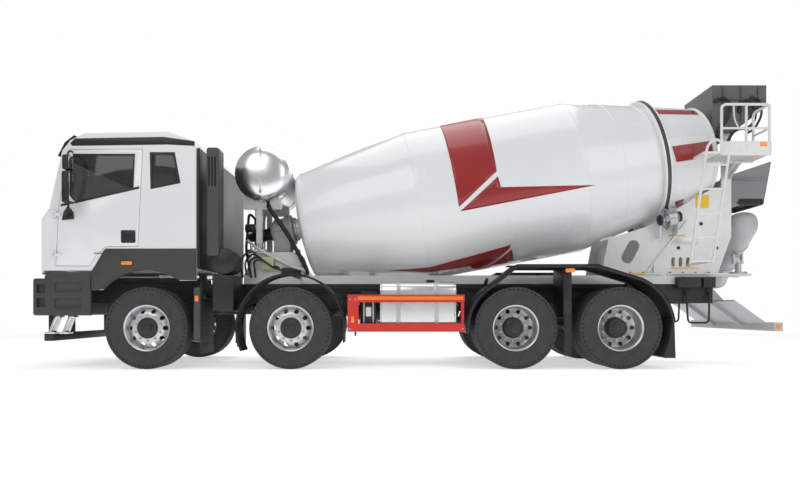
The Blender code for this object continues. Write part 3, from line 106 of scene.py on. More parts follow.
@dataclass(frozen=True)
class Finish:
    """One surface finish, made into a node material when first used."""

    name: str
    slot: str
    colour: Colour
    roughness: float
    texture: Texture = Texture.SPRAYED
    metallic: float = 0.0
    coat: float = 0.0
    wander: float = 0.06
    grime: float = 0.0
    see_through: float = 0.0
    glow: float = 0.0

    def material(self) -> bpy.types.Material:
        """The material, made once and then reused."""
        known = bpy.data.materials.get("finish_" + self.name)
        return known if known else self._make()

    def _make(self) -> bpy.types.Material:
        """Build the node tree: cloudy colour, grime, uneven gloss and a fine bump.

        Returns:
            The new material.
        """
        made = bpy.data.materials.new("finish_" + self.name)
        made.use_nodes = True
        tree = made.node_tree
        nodes, links = tree.nodes, tree.links
        shader = nodes["Principled BSDF"]
        place = nodes.new("ShaderNodeTexCoord")
        scale, depth, stretch = GRAINS[self.texture]

        cloud = nodes.new("ShaderNodeTexNoise")
        cloud.inputs["Scale"].default_value = 1.7
        cloud.inputs["Detail"].default_value = 6.0
        links.new(place.outputs["Object"], cloud.inputs["Vector"])
        tint = nodes.new("ShaderNodeValToRGB")
        tint.color_ramp.elements[0].position = 0.3
        tint.color_ramp.elements[1].position = 0.7
        for element, share in zip(tint.color_ramp.elements, (1 - self.wander, 1 + self.wander)):
            element.color = (*(min(1.0, part * share) for part in self.colour), 1.0)
        links.new(cloud.outputs["Fac"], tint.inputs["Fac"])
        colour = tint.outputs["Color"]
        if self.grime:
            colour = self._dusted(tree, place, colour)
        links.new(colour, shader.inputs["Base Color"])

        gloss = nodes.new("ShaderNodeMapRange")
        gloss.inputs["To Min"].default_value = max(0.02, self.roughness * 0.82)
        gloss.inputs["To Max"].default_value = min(1.0, self.roughness * 1.2)
        links.new(cloud.outputs["Fac"], gloss.inputs["Value"])
        links.new(gloss.outputs["Result"], shader.inputs["Roughness"])

        turn = nodes.new("ShaderNodeMapping")
        turn.inputs["Scale"].default_value = stretch
        links.new(place.outputs["Object"], turn.inputs["Vector"])
        if self.texture is Texture.WOVEN:
            grain = nodes.new("ShaderNodeTexVoronoi")
            grain_out = grain.outputs["Distance"]
        else:
            grain = nodes.new("ShaderNodeTexNoise")
            grain.inputs["Detail"].default_value = 3.0
            grain_out = grain.outputs["Fac"]
        grain.inputs["Scale"].default_value = scale
        links.new(turn.outputs["Vector"], grain.inputs["Vector"])
        bump = nodes.new("ShaderNodeBump")
        bump.inputs["Strength"].default_value = 0.6
        bump.inputs["Distance"].default_value = depth
        links.new(grain_out, bump.inputs["Height"])
        links.new(bump.outputs["Normal"], shader.inputs["Normal"])

        shader.inputs["Metallic"].default_value = self.metallic
        shader.inputs["Coat Weight"].default_value = self.coat
        shader.inputs["Coat Roughness"].default_value = 0.08
        if self.see_through:
            shader.inputs["Alpha"].default_value = 1.0 - self.see_through
        if self.glow:
            shader.inputs["Emission Color"].default_value = (*self.colour, 1.0)
            shader.inputs["Emission Strength"].default_value = self.glow
        return made

    def _dusted(self, tree: bpy.types.NodeTree, place: bpy.types.Node,
                colour: bpy.types.NodeSocket) -> bpy.types.NodeSocket:
        """Mix patchy road dust into a colour.

        Args:
            tree: The material's node tree.
            place: The texture coordinate node.
            colour: The clean colour.

        Returns:
            The dusty colour.
        """
        patches = tree.nodes.new("ShaderNodeTexNoise")
        patches.inputs["Scale"].default_value = 9.0
        patches.inputs["Detail"].default_value = 8.0
        patches.inputs["Roughness"].default_value = 0.7
        tree.links.new(place.outputs["Object"], patches.inputs["Vector"])
        amount = tree.nodes.new("ShaderNodeMapRange")
        amount.inputs["From Min"].default_value = 0.42
        amount.inputs["From Max"].default_value = 0.8
        amount.inputs["To Max"].default_value = self.grime
        tree.links.new(patches.outputs["Fac"], amount.inputs["Value"])
        mix = tree.nodes.new("ShaderNodeMix")
        mix.data_type = "RGBA"
        mix.inputs["B"].default_value = (0.24, 0.22, 0.19, 1.0)
        tree.links.new(amount.outputs["Result"], mix.inputs["Factor"])
        tree.links.new(colour, mix.inputs["A"])
        return mix.outputs["Result"]


WHITE = Finish("cab_white", "white_paint", (0.76, 0.77, 0.78), 0.22, coat=0.6, wander=0.01)
DRUM_WHITE = Finish("drum_white", "white_paint", (0.77, 0.78, 0.79), 0.26, coat=0.5, wander=0.012)
FRAME_WHITE = Finish("frame_white", "white_paint", (0.72, 0.73, 0.73), 0.34, coat=0.3, wander=0.05,
                     grime=0.12)
DECAL_RED = Finish("decal_red", "red_paint", (0.3, 0.012, 0.012), 0.34, coat=0.4, wander=0.08)
GUARD_RED = Finish("guard_red", "red_paint", (0.62, 0.02, 0.012), 0.35, coat=0.4, wander=0.06,
                   grime=0.05)
CHARCOAL = Finish("charcoal_plastic", "charcoal_plastic", (0.046, 0.046, 0.044), 0.55,
                  Texture.MOULDED, wander=0.12)
TRIM_BLACK = Finish("trim_black", "charcoal_plastic", (0.012, 0.012, 0.013), 0.42,
                    Texture.MOULDED, wander=0.1)
CHASSIS_BLACK = Finish("chassis_black", "black_steel", (0.022, 0.022, 0.023), 0.48, metallic=0.2,
                       wander=0.15, grime=0.1)
TYRE = Finish("tyre_rubber", "tyre_rubber", (0.04, 0.04, 0.041), 0.8, Texture.RUBBER,
              wander=0.15, grime=0.1)
FLAP = Finish("flap_rubber", "flap_rubber", (0.018, 0.018, 0.018), 0.68, Texture.RUBBER,
              wander=0.12, grime=0.06)
RIM_SILVER = Finish("rim_silver", "silver_paint", (0.62, 0.63, 0.64), 0.32, metallic=0.75,
                    wander=0.06, grime=0.06)
HUB_DARK = Finish("hub_dark", "silver_paint", (0.028, 0.028, 0.03), 0.45, metallic=0.3,
                  wander=0.12, grime=0.12)
PALE_STEEL = Finish("pale_steel", "silver_paint", (0.58, 0.59, 0.6), 0.34, metallic=0.55,
                    wander=0.08, grime=0.1)
BRIGHT_ALLOY = Finish("bright_alloy", "aluminium", (0.8, 0.81, 0.82), 0.26, Texture.BRUSHED,
                      metallic=1.0, wander=0.06)
NUT_STEEL = Finish("nut_steel", "silver_paint", (0.52, 0.53, 0.54), 0.28, metallic=0.95,
                   wander=0.12)
IRON = Finish("cast_iron", "cast_iron", (0.075, 0.073, 0.07), 0.62, Texture.CAST, metallic=0.5,
              wander=0.2, grime=0.2)
GREY = Finish("grey_paint", "grey_paint", (0.085, 0.088, 0.092), 0.42, wander=0.08, grime=0.1)
GREY_PANEL = Finish("grey_panel", "grey_paint", (0.21, 0.215, 0.225), 0.45, wander=0.06,
                    grime=0.06)
STACK_GREY = Finish("stack_grey", "grey_paint", (0.055, 0.055, 0.057), 0.5, wander=0.08)
AMBER_PAINT = Finish("amber_stripe", "red_paint", (0.85, 0.2, 0.015), 0.38, wander=0.05)
PALE_GREY = Finish("pale_grey", "grey_paint", (0.46, 0.47, 0.48), 0.4, wander=0.06, grime=0.1)
GLASS = Finish("tinted_glass", "screen_glass", (0.018, 0.02, 0.022), 0.05, Texture.POLISHED,
               coat=1.0, wander=0.0, see_through=0.42)
MIRROR = Finish("mirror_glass", "screen_glass", (0.75, 0.77, 0.79), 0.05, Texture.POLISHED,
                metallic=1.0, wander=0.0)
SEAT_CLOTH = Finish("seat_cloth", "trim_fabric", (0.055, 0.055, 0.062), 0.92, Texture.WOVEN,
                    wander=0.12)
# Its glow also lights the reflectors that share this finish; on them it is a painted highlight,
# since they are no lamps.
AMBER = Finish("amber_lens", "screen_glass", (0.85, 0.22, 0.02), 0.18, Texture.LENS, coat=0.8,
               glow=0.15)
RED_LENS = Finish("red_lens", "screen_glass", (0.55, 0.02, 0.015), 0.18, Texture.LENS, coat=0.8)
CLEAR_LENS = Finish("clear_lens", "screen_glass", (0.7, 0.72, 0.74), 0.12, Texture.LENS, coat=0.9)
YELLOW = Finish("yellow_band", "white_paint", (0.8, 0.5, 0.03), 0.4, wander=0.06)
BOX_GREEN = Finish("box_green", "white_paint", (0.55, 0.6, 0.36), 0.45, wander=0.05)
HOSE = Finish("hose_rubber", "flap_rubber", (0.014, 0.014, 0.014), 0.5, Texture.RUBBER,
              wander=0.1)


# ------------------------------------------------------------------ making shapes
def aim(origin: Point, axis: Point, hint: Point = (0, 0, 1)) -> Matrix:
    """A frame whose Z lies along an axis.

    Args:
        origin: Where the frame sits.
        axis: Its Z direction.
        hint: A direction that its X leans towards.

    Returns:
        The frame as a matrix.
    """
    z = Vector(axis).normalized()
    hint_v = Vector(hint)
    if abs(z.dot(hint_v.normalized())) > 0.99:
        hint_v = Vector((1, 0, 0))
    x = (hint_v - z * hint_v.dot(z)).normalized()
    turn = Matrix((x, z.cross(x), z)).transposed()
    return Matrix.Translation(Vector(origin)) @ turn.to_4x4()


def ring(count: int, radius: float, start: float = 0.0) -> list[tuple[float, float]]:
    """Evenly spaced points round a circle."""
    return [(radius * math.cos(start + math.tau * i / count),
             radius * math.sin(start + math.tau * i / count)) for i in range(count)]


def arc(centre: Point, radius: float, start: float, end: float, steps: int) -> list[Point]:
    """Points of an arc in a plane, with its ends in degrees."""
    angles = [math.radians(start + (end - start) * i / steps) for i in range(steps + 1)]
    return [(centre[0] + radius * math.cos(a), centre[1] + radius * math.sin(a)) for a in angles]


def oval(centre: Point, half: Point, corner: float, steps: int = 4) -> list[Point]:
    """Points of a rectangle with round corners.

    Args:
        centre: The rectangle's middle.
        half: Half its two sides.
        corner: Radius of the corners.
        steps: Points on each corner.

    Returns:
        The outline, anticlockwise.
    """
    points: list[Point] = []
    for quarter, (u, v) in enumerate(((1, 1), (-1, 1), (-1, -1), (1, -1))):
        middle = (centre[0] + u * (half[0] - corner), centre[1] + v * (half[1] - corner))
        points += arc(middle, corner, quarter * 90, quarter * 90 + 90, steps)
    return points


def side_span(side: int, inner: float, outer: float) -> Span:
    """A span across the truck on one side, lowest first."""
    return (min(side * inner, side * outer), max(side * inner, side * outer))


class Shape:
    """A mesh being made in the truck's frame; its methods can be chained."""

    def __init__(self) -> None:
        """Start empty."""
        self.bm = bmesh.new()

    def take(self, other: bmesh.types.BMesh, matrix: Matrix | None = None) -> Shape:
        """Add another mesh's faces and free it.

        Args:
            other: The mesh to add.
            matrix: Where to place it first.

        Returns:
            This shape.
        """
        if matrix is not None:
            bmesh.ops.transform(other, matrix=matrix, verts=other.verts)
        carrier = bpy.data.meshes.new("carrier")
        other.to_mesh(carrier)
        other.free()
        self.bm.from_mesh(carrier)
        bpy.data.meshes.remove(carrier)
        return self

    def block(self, x: Span, y: Span, z: Span, soften: float = 0.0, steps: int = 2) -> Shape:
        """Add a box between three spans, with its edges rounded."""
        made = bmesh.new()
        size = Vector((x[1] - x[0], y[1] - y[0], z[1] - z[0]))
        middle = Vector((sum(x) / 2, sum(y) / 2, sum(z) / 2))
        bmesh.ops.create_cube(made, size=1.0,
                              matrix=Matrix.Translation(middle) @ Matrix.Diagonal((*size, 1)))
        round_edges(made, made.edges, min(soften, min(size) * 0.45), steps)
        return self.take(made)

    def plate(self, points: Sequence[Point], axis: str, low: float, high: float,
              soften: float = 0.0, holes: Sequence[Sequence[Point]] = ()) -> Shape:
        """Add an outline extruded along an axis.

        Args:
            points: The outline in the other two axes, in alphabetical order.
            axis: X, Y or Z.
            low: Lower end along the axis.
            high: Upper end along the axis.
            soften: Radius of the rim's edges.
            holes: Outlines that are left open.

        Returns:
            This shape.
        """
        made = bmesh.new()
        order = {"X": lambda u, v: (low, u, v), "Y": lambda u, v: (u, low, v),
                 "Z": lambda u, v: (u, v, low)}[axis]
        rims = []
        for loop in (points, *holes):
            verts = [made.verts.new(order(u, v)) for u, v in loop]
            rims += [made.edges.new(pair) for pair in zip(verts, verts[1:] + verts[:1])]
        if holes:
            bmesh.ops.triangle_fill(made, edges=rims, use_beauty=True)
        else:
            made.faces.new(made.verts[:])
        grown = bmesh.ops.extrude_face_region(made, geom=made.faces[:])
        lift = Vector([high - low if name == axis else 0.0 for name in "XYZ"])
        moved = [part for part in grown["geom"] if isinstance(part, bmesh.types.BMVert)]
        bmesh.ops.translate(made, verts=moved, vec=lift)
        bmesh.ops.recalc_face_normals(made, faces=made.faces)
        bmesh.ops.dissolve_limit(made, angle_limit=0.002, verts=made.verts, edges=made.edges)
        if soften:
            sharp = [e for e in made.edges if len(e.link_faces) == 2 and e.calc_face_angle() > 0.9]
            round_edges(made, sharp, soften, 2)
        return self.take(made)

    def lathe(self, profile: Sequence[Point], origin: Point, axis: Point, segments: int = 48,
              loop: bool = False, sweep: float = math.tau, hint: Point = (0, 0, 1)) -> Shape:
        """Add a profile of (radius, station) spun round an axis.

        Args:
            profile: The section to spin.
            origin: Where station zero is.
            axis: The direction of the stations.
            segments: Steps in the spin.
            loop: Whether the section closes on itself.
            sweep: Angle of the spin.
            hint: Direction in which the spin starts.

        Returns:
            This shape.
        """
        made = bmesh.new()
        verts = [made.verts.new((radius, 0.0, along)) for radius, along in profile]
        pairs = list(zip(verts, verts[1:])) + ([(verts[-1], verts[0])] if loop else [])
        edges = [made.edges.new(pair) for pair in pairs]
        bmesh.ops.spin(made, geom=verts + edges, cent=(0, 0, 0), axis=(0, 0, 1), angle=sweep,
                       steps=segments, use_merge=sweep >= math.tau, use_duplicate=False)
        bmesh.ops.remove_doubles(made, verts=made.verts, dist=0.00002)
        if loop and sweep < math.tau:
            bmesh.ops.holes_fill(made, edges=[e for e in made.edges if e.is_boundary], sides=0)
        bmesh.ops.recalc_face_normals(made, faces=made.faces)
        return self.take(made, aim(origin, axis, hint))

    def rod(self, start: Point, end: Point, radius: float, segments: int = 16,
            soften: float = 0.0, top: float | None = None) -> Shape:
        """Add a straight round bar, or a cone if it has a top radius."""
        start_v, end_v = Vector(start), Vector(end)
        length = (end_v - start_v).length
        tip = radius if top is None else top
        made = bmesh.new()
        bmesh.ops.create_cone(made, cap_ends=True, segments=segments, radius1=radius, radius2=tip,
                              depth=length)
        if soften:
            rims = [e for e in made.edges if e.calc_face_angle(0.0) > 0.9]
            round_edges(made, rims, soften, 2)
        return self.take(made, aim((start_v + end_v) / 2, end_v - start_v))

    def tube(self, points: Sequence[Point], radius: float, segments: int = 5,
             bend: float = 0.0) -> Shape:
        """Add a bent tube.

        Args:
            points: The corners that it runs through.
            radius: The tube's radius.
            segments: How finely a quarter of its section is divided.
            bend: Radius of its corners.

        Returns:
            This shape.
        """
        curve = bpy.data.curves.new("tube", "CURVE")
        curve.dimensions = "3D"
        curve.bevel_depth = radius
        curve.bevel_resolution = segments
        curve.use_fill_caps = True
        route = rounded_route(points, bend)
        line = curve.splines.new("POLY")
        line.points.add(len(route) - 1)
        for spot, place in zip(line.points, route):
            spot.co = (*place, 1.0)
        holder = bpy.data.objects.new("tube", curve)
        bpy.context.scene.collection.objects.link(holder)
        mesh = bpy.data.meshes.new_from_object(
            holder.evaluated_get(bpy.context.evaluated_depsgraph_get()))
        made = bmesh.new()
        made.from_mesh(mesh)
        bmesh.ops.remove_doubles(made, verts=made.verts, dist=0.00002)
        bmesh.ops.recalc_face_normals(made, faces=made.faces)
        bpy.data.objects.remove(holder)
        bpy.data.curves.remove(curve)
        bpy.data.meshes.remove(mesh)
        return self.take(made)

    def bolts(self, origin: Point, axis: Point, circle: float, count: int, size: float,
              height: float, sides: int = 6) -> Shape:
        """Add a circle of hexagon heads, or of round studs if it has more sides."""
        matrix = aim(origin, axis)
        up = Vector(axis).normalized() * height
        for u, v in ring(count, circle):
            foot = matrix @ Vector((u, v, 0.0))
            self.rod(foot, foot + up, size, sides, size * 0.15)
        return self

    def copy_of(self, node: str, flat: float = 0.01) -> Shape:
        """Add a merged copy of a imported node's mesh."""
        made = bmesh.new()
        made.from_mesh(frame["nodes"][node].data)
        bmesh.ops.remove_doubles(made, verts=made.verts, dist=0.00005)
        bmesh.ops.dissolve_limit(made, angle_limit=flat, verts=made.verts, edges=made.edges)
        return self.take(made)

    def mirrored(self) -> Shape:
        """Add the same shape on the truck's other side."""
        made = self.bm.copy()
        bmesh.ops.scale(made, vec=(1, -1, 1), verts=made.verts)
        bmesh.ops.reverse_faces(made, faces=made.faces)
        return self.take(made)

    def flipped(self, side: int) -> Shape:
        """Move a shape made on the left to a side, left being -1."""
        if side > 0:
            bmesh.ops.scale(self.bm, vec=(1, -1, 1), verts=self.bm.verts)
            bmesh.ops.reverse_faces(self.bm, faces=self.bm.faces)
        return self

    def turned(self, matrix: Matrix) -> Shape:
        """Move the whole shape by a matrix."""
        bmesh.ops.transform(self.bm, matrix=matrix, verts=self.bm.verts)
        return self

    def less(self, tool: Shape) -> Shape:
        """Cut another closed shape out of this one.

        Args:
            tool: The shape to take away.

        Returns:
            This shape.
        """
        body, cutter = (holder_of(self.bm, "body"), holder_of(tool.bm, "cutter"))
        cut = body.modifiers.new("cut", "BOOLEAN")
        cut.operation = "DIFFERENCE"
        cut.solver = "EXACT"
        cut.use_self = True
        cut.object = cutter
        mesh = bpy.data.meshes.new_from_object(
            body.evaluated_get(bpy.context.evaluated_depsgraph_get()))
        self.bm = bmesh.new()
        self.bm.from_mesh(mesh)
        for holder in (body, cutter):
            bpy.data.objects.remove(holder)
        return self

    def piece(self, name: str, finish: Finish, body: str = "frame", replaces: Iterable[str] = (),
              crease: float = 35.0, soften: float = 0.0) -> bpy.types.Object:
        """Finish the shape as a piece of the truck.

        Args:
            name: The piece's name.
            finish: Its surface.
            body: The moving body that carries it.
            replaces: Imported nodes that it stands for.
            crease: Angle over which an edge stays sharp, in degrees.
            soften: Width of a Bevel modifier on its sharp edges.

        Returns:
            The new object.
        """
        mesh = bpy.data.meshes.new(name)
        self.bm.to_mesh(mesh)
        self.bm.free()
        mesh.materials.clear()
        mesh.materials.append(finish.material())
        mesh.shade_smooth()
        mesh.set_sharp_from_angle(angle=math.radians(crease))
        obj = bpy.data.objects.new(name, mesh)
        bpy.context.scene.collection.objects.link(obj)
        if soften:
            bevel = obj.modifiers.new("soft_edges", "BEVEL")
            bevel.width = soften
            bevel.segments = 2
            bevel.limit_method = "ANGLE"
            bevel.angle_limit = math.radians(30)
            bevel.harden_normals = True
        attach(obj, body)
        nodes = list(replaces)
        if nodes:
            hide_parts(*nodes)
        return obj


def holder_of(bm: bmesh.types.BMesh, name: str) -> bpy.types.Object:
    """Put a mesh in a passing object and free it."""
    mesh = bpy.data.meshes.new(name)
    bm.to_mesh(mesh)
    bm.free()
    holder = bpy.data.objects.new(name, mesh)
    bpy.context.scene.collection.objects.link(holder)
    return holder


def round_edges(bm: bmesh.types.BMesh, edges: Iterable[bmesh.types.BMEdge], radius: float,
                steps: int) -> None:
    """Round some edges of a mesh."""
    chosen = list(edges)
    if radius > 0.0 and chosen:
        bmesh.ops.bevel(bm, geom=chosen, offset=radius, segments=steps, profile=0.5,
                        affect="EDGES", material=-1, clamp_overlap=True)


def rounded_route(points: Sequence[Point], bend: float) -> list[Vector]:
    """Points of a route with its corners rounded.

    Args:
        points: The corners.
        bend: Radius of each bend.

    Returns:
        The route.
    """
    corners = [Vector(point) for point in points]
    if not bend:
        return corners
    route = [corners[0]]
    for before, here, after in zip(corners, corners[1:], corners[2:]):
        back, on = before - here, after - here
        reach = min(bend, back.length * 0.48, on.length * 0.48)
        start, end = here + back.normalized() * reach, here + on.normalized() * reach
        for step in range(7):
            t = step / 6
            route.append(start * (1 - t) ** 2 + here * 2 * t * (1 - t) + end * t ** 2)
    return route + [corners[-1]]


def dress(node: str, finish: Finish, soften: float = 0.0, crease: float = 35.0) -> None:
    """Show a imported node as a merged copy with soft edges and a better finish.

    Args:
        node: The node.
        finish: Its surface.
        soften: Width of its edge rounding.
        crease: Angle over which an edge stays sharp, in degrees.
    """
    body = frame["nodes"][node]["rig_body"]
    Shape().copy_of(node).piece(node + "_shown", finish, body, [node], crease, soften)


# ------------------------------------------------------------------ studio
@dataclass
class Studio:
    """Pale floor, soft lights and the camera."""

    floor_half: float = 12.0
    lens: float = 29.475
    eye: Point = (-0.265, -9.65, 0.75)
    rise: float = 0.08875
    sky_light: float = 0.38
    floor_glow: float = 0.56

    def build(self) -> None:
        """Make the floor, the lights, the sky and the camera."""
        grid = bmesh.new()
        bmesh.ops.create_grid(grid, x_segments=1, y_segments=1, size=self.floor_half)
        floor = holder_of(grid, "studio_floor")
        pale = Finish("studio_floor", "white_paint", (0.93, 0.93, 0.93), 0.85,
                      Texture.POLISHED, wander=0.003, glow=self.floor_glow)
        floor.data.materials.append(pale.material())
        sky = bpy.data.worlds.new("studio")
        bpy.context.scene.world = sky
        sky.use_nodes = True
        bpy.context.scene.view_settings.view_transform = "Standard"
        nodes, links = sky.node_tree.nodes, sky.node_tree.links
        soft, path = nodes["Background"], nodes.new("ShaderNodeLightPath")
        bright, pick = nodes.new("ShaderNodeBackground"), nodes.new("ShaderNodeMixShader")
        for node, strength in ((soft, self.sky_light), (bright, 1.0)):
            node.inputs["Color"].default_value = (1.0, 1.0, 1.0, 1.0)
            node.inputs["Strength"].default_value = strength
        links.new(path.outputs["Is Camera Ray"], pick.inputs["Fac"])
        links.new(soft.outputs["Background"], pick.inputs[1])
        links.new(bright.outputs["Background"], pick.inputs[2])
        links.new(pick.outputs["Shader"], nodes["World Output"].inputs["Surface"])
        self.lamp("key_light", (-6.0, -11.0, 9.5), (-1.0, 0.0, 1.5), 8.0, 390.0)
        self.lamp("fill_light", (9.0, -9.0, 6.0), (1.0, 0.0, 1.5), 7.0, 220.0)
        self.lamp("top_light", (0.0, 1.0, 10.0), (0.0, 0.0, 1.0), 9.0, 420.0)
        self.lamp("back_light", (2.0, 12.0, 7.0), (0.0, 0.0, 1.5), 8.0, 260.0)
        self.camera()
        LOG.info("studio ready")

    def lamp(self, name: str, place: Point, target: Point, size: float, power: float) -> None:
        """Add a square area light that faces a target."""
        data = bpy.data.lights.new(name, "AREA")
        data.size = size
        data.energy = power
        lamp = bpy.data.objects.new(name, data)
        lamp.location = place
        lamp.rotation_euler = (Vector(target) - Vector(place)).to_track_quat("-Z", "Y").to_euler()
        bpy.context.scene.collection.objects.link(lamp)

    def camera(self) -> None:
        """Set the level side view."""
        data = bpy.data.cameras.new("side_view")
        data.lens = self.lens
        data.sensor_width = 36.0
        data.shift_y = self.rise
        camera = bpy.data.objects.new("side_view", data)
        camera.location = self.eye
        camera.rotation_euler = (math.pi / 2, 0.0, 0.0)
        bpy.context.scene.collection.objects.link(camera)
        bpy.context.scene.camera = camera


# ------------------------------------------------------------------ wheels
@dataclass
class Wheel:
    """A road wheel: tyre or twin tyres, rim, disc, hub and nuts."""

    axle: int
    word: str
    side: int
    radius: float = 0.53
    bead: float = 0.288
    track: float = 1.1
    lugs: int = 54
    twin_step: float = 0.33
    nut_circle: float = 0.1675
    hole_circle: float = 0.222
    hole_radius: float = 0.029

    @property
    def driven(self) -> bool:
        """Whether the wheel has twin tyres."""
        return self.axle > 2

    def build(self) -> None:
        """Make every piece of this wheel."""
        label = f"{self.axle}_{self.word}"
        node = f"twin_tyres_{label}" if self.driven else f"tyre_{label}"
        low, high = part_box(node)
        self.centre = Vector(((low.x + high.x) / 2, self.side * self.track, self.radius))
        self.out = Vector((0.0, self.side, 0.0))
        self.body = f"wheel_{label}"
        tyre = self.tyre(0.0)
        if self.driven:
            tyre.take(self.tyre(-self.twin_step).bm)
        tyre.piece(f"tyres_{label}", TYRE, self.body, [node], crease=28)
        if self.driven:
            self.drive_disc(label)
        else:
            self.steer_disc(label)

    def tyre(self, shift: float) -> Shape:
        """A tyre with shoulder lugs, grooves and sidewall rings."""
        top, bead = self.radius - 0.004, self.bead
        half = [(bead, 0.117), (bead + 0.014, 0.127), (bead + 0.03, 0.1335), (bead + 0.034, 0.1365),
                (bead + 0.04, 0.1352), (bead + 0.085, 0.142), (bead + 0.089, 0.144),
                (bead + 0.095, 0.1432), (bead + 0.15, 0.1448), (bead + 0.19, 0.1428),
                (bead + 0.202, 0.1395), (top - 0.03, 0.132), (top - 0.021, 0.12),
                (top - 0.019, 0.08), (top - 0.019, 0.077), (top - 0.013, 0.067),
                (top, 0.064), (top + 0.001, 0.025), (top - 0.012, 0.022), (top - 0.012, 0.01),
                (top + 0.002, 0.007)]
        profile = half + [(radius, -along) for radius, along in reversed(half)]
        shape = Shape().lathe([(radius, along + shift) for radius, along in profile],
                              self.centre, self.out, self.lugs * 2, loop=True)
        lug = Shape()
        for end in (-1, 1):
            for count, reach in ((0.0, 0.1455), (0.5, 0.1395)):
                outer, inner = end * reach, end * 0.084
                lug.block((self.radius - 0.046 + count * 0.034, self.radius - 0.0012),
                          (-0.017, 0.017), (min(outer, inner) + shift, max(outer, inner) + shift),
                          0.004, 1)
                bmesh.ops.rotate(lug.bm, verts=lug.bm.verts, cent=(0, 0, 0),
                                 matrix=Matrix.Rotation(math.pi / self.lugs, 3, "Z"))
        around = bmesh.new()
        carrier = bpy.data.meshes.new("lug")
        lug.bm.to_mesh(carrier)
        lug.bm.free()
        for step in range(self.lugs):
            before = len(around.verts)
            around.from_mesh(carrier)
            around.verts.ensure_lookup_table()
            bmesh.ops.rotate(around, verts=around.verts[before:], cent=(0, 0, 0),
                             matrix=Matrix.Rotation(math.tau * step / self.lugs, 3, "Z"))
        bpy.data.meshes.remove(carrier)
        return shape.take(around, aim(self.centre, self.out))

    def spot(self, circle: float, index: float, count: int, along: float) -> Vector:
        """A point on one of the wheel's circles of holes or nuts."""
        turn = math.tau * index / count
        local = Vector((circle * math.cos(turn), circle * math.sin(turn), along))
        return aim(self.centre, self.out) @ local

    def holes(self, shape: Shape, circle: float, radius: float, low: float, high: float,
              stretch: float = 1.0) -> Shape:
        """Cut ten hand holes through a disc."""
        tools = Shape()
        for index in range(10):
            start = self.spot(circle, index + 0.5, 10, low)
            tools.rod(start, start + self.out * (high - low), radius * stretch, 24)
        return shape.less(tools)

    def steer_disc(self, label: str) -> None:
        """Rim, disc, hub and nuts of a steered wheel."""
        barrel = [(0.284, 0.126), (0.297, 0.131), (0.3, 0.127), (0.29, 0.117), (0.283, 0.104),
                  (0.274, 0.088), (0.268, 0.06), (0.268, -0.095), (0.283, -0.112),
                  (0.283, -0.124), (0.274, -0.124), (0.259, -0.095), (0.259, 0.06),
                  (0.268, 0.096), (0.276, 0.115)]
        rim = Shape().lathe(barrel, self.centre, self.out, 96, loop=True)
        disc = [(0.262, 0.03), (0.25, 0.046), (0.205, 0.086), (0.192, 0.094), (0.13, 0.094),
                (0.13, 0.084), (0.19, 0.084), (0.202, 0.076), (0.244, 0.036), (0.254, 0.022)]
        face = Shape().lathe(disc, self.centre, self.out, 80, loop=True)
        face = self.holes(face, self.hole_circle, self.hole_radius, -0.02, 0.14)
        rim.take(face.bm)
        rim.piece(f"rim_face_{label}", RIM_SILVER, self.body, [f"rim_{label}"], crease=40)
        hub = [(0.0, 0.128), (0.046, 0.128), (0.052, 0.124), (0.054, 0.112), (0.086, 0.108),
               (0.096, 0.104), (0.116, 0.103), (0.122, 0.098), (0.136, 0.097), (0.138, 0.093),
               (0.138, 0.06), (0.1, 0.03), (0.0, 0.03)]
        core = Shape().lathe(hub, self.centre, self.out, 64)
        core.bolts(self.centre + self.out * 0.102, self.out, 0.074, 8, 0.0075, 0.01)
        core.piece(f"hub_{label}", HUB_DARK, self.body, crease=30)
        nuts = Shape().bolts(self.centre + self.out * 0.092, self.out, self.nut_circle, 10,
                             0.0175, 0.026)
        nuts.bolts(self.centre + self.out * 0.092, self.out, self.nut_circle, 10, 0.0205, 0.008, 20)
        nuts.bolts(self.centre + self.out * 0.092, self.out, self.nut_circle, 10, 0.01, 0.036, 14)
        nuts.piece(f"nuts_{label}", NUT_STEEL, self.body)

    def drive_disc(self, label: str) -> None:
        """Rim barrels, deep disc, hub and nuts of a driven wheel."""
        barrel = [(0.284, 0.126), (0.297, 0.131), (0.3, 0.127), (0.29, 0.117), (0.283, 0.102),
                  (0.272, 0.086), (0.266, 0.05), (0.266, -0.41), (0.283, -0.44),
                  (0.283, -0.452), (0.274, -0.452), (0.257, -0.41), (0.257, 0.05),
                  (0.266, 0.094), (0.276, 0.115)]
        rim = Shape().lathe(barrel, self.centre, self.out, 96, loop=True)
        rim.piece(f"rim_barrel_{label}", RIM_SILVER, self.body, crease=40)
        disc = [(0.26, -0.085), (0.24, -0.096), (0.2, -0.112), (0.19, -0.118),
                (0.13, -0.118), (0.13, -0.13), (0.192, -0.13), (0.204, -0.124),
                (0.243, -0.107), (0.26, -0.098)]
        face = Shape().lathe(disc, self.centre, self.out, 80, loop=True)
        face = self.holes(face, 0.224, self.hole_radius, -0.2, 0.0)
        face.piece(f"disc_{label}", PALE_STEEL, self.body, crease=40)
        hub = [(0.0, 0.058), (0.07, 0.058), (0.08, 0.054), (0.084, 0.046), (0.108, 0.04),
               (0.116, 0.034), (0.12, 0.006), (0.124, -0.07), (0.137, -0.08),
               (0.139, -0.12), (0.139, -0.15), (0.0, -0.15)]
        core = Shape().lathe(hub, self.centre, self.out, 64)
        core.bolts(self.centre + self.out * 0.038, self.out, 0.097, 10, 0.009, 0.013)
        for index in range(10):
            start = self.spot(0.119, index + 0.5, 10, -0.075)
            core.rod(start, start + self.out * 0.085, 0.008, 8, top=0.003)
        core.piece(f"hub_{label}", HUB_DARK, self.body, [f"drive_hub_{label}"], crease=30)
        nuts = Shape().bolts(self.centre - self.out * 0.118, self.out, self.nut_circle, 10,
                             0.0175, 0.03)
        nuts.bolts(self.centre - self.out * 0.118, self.out, self.nut_circle, 10, 0.0095, 0.05, 14)
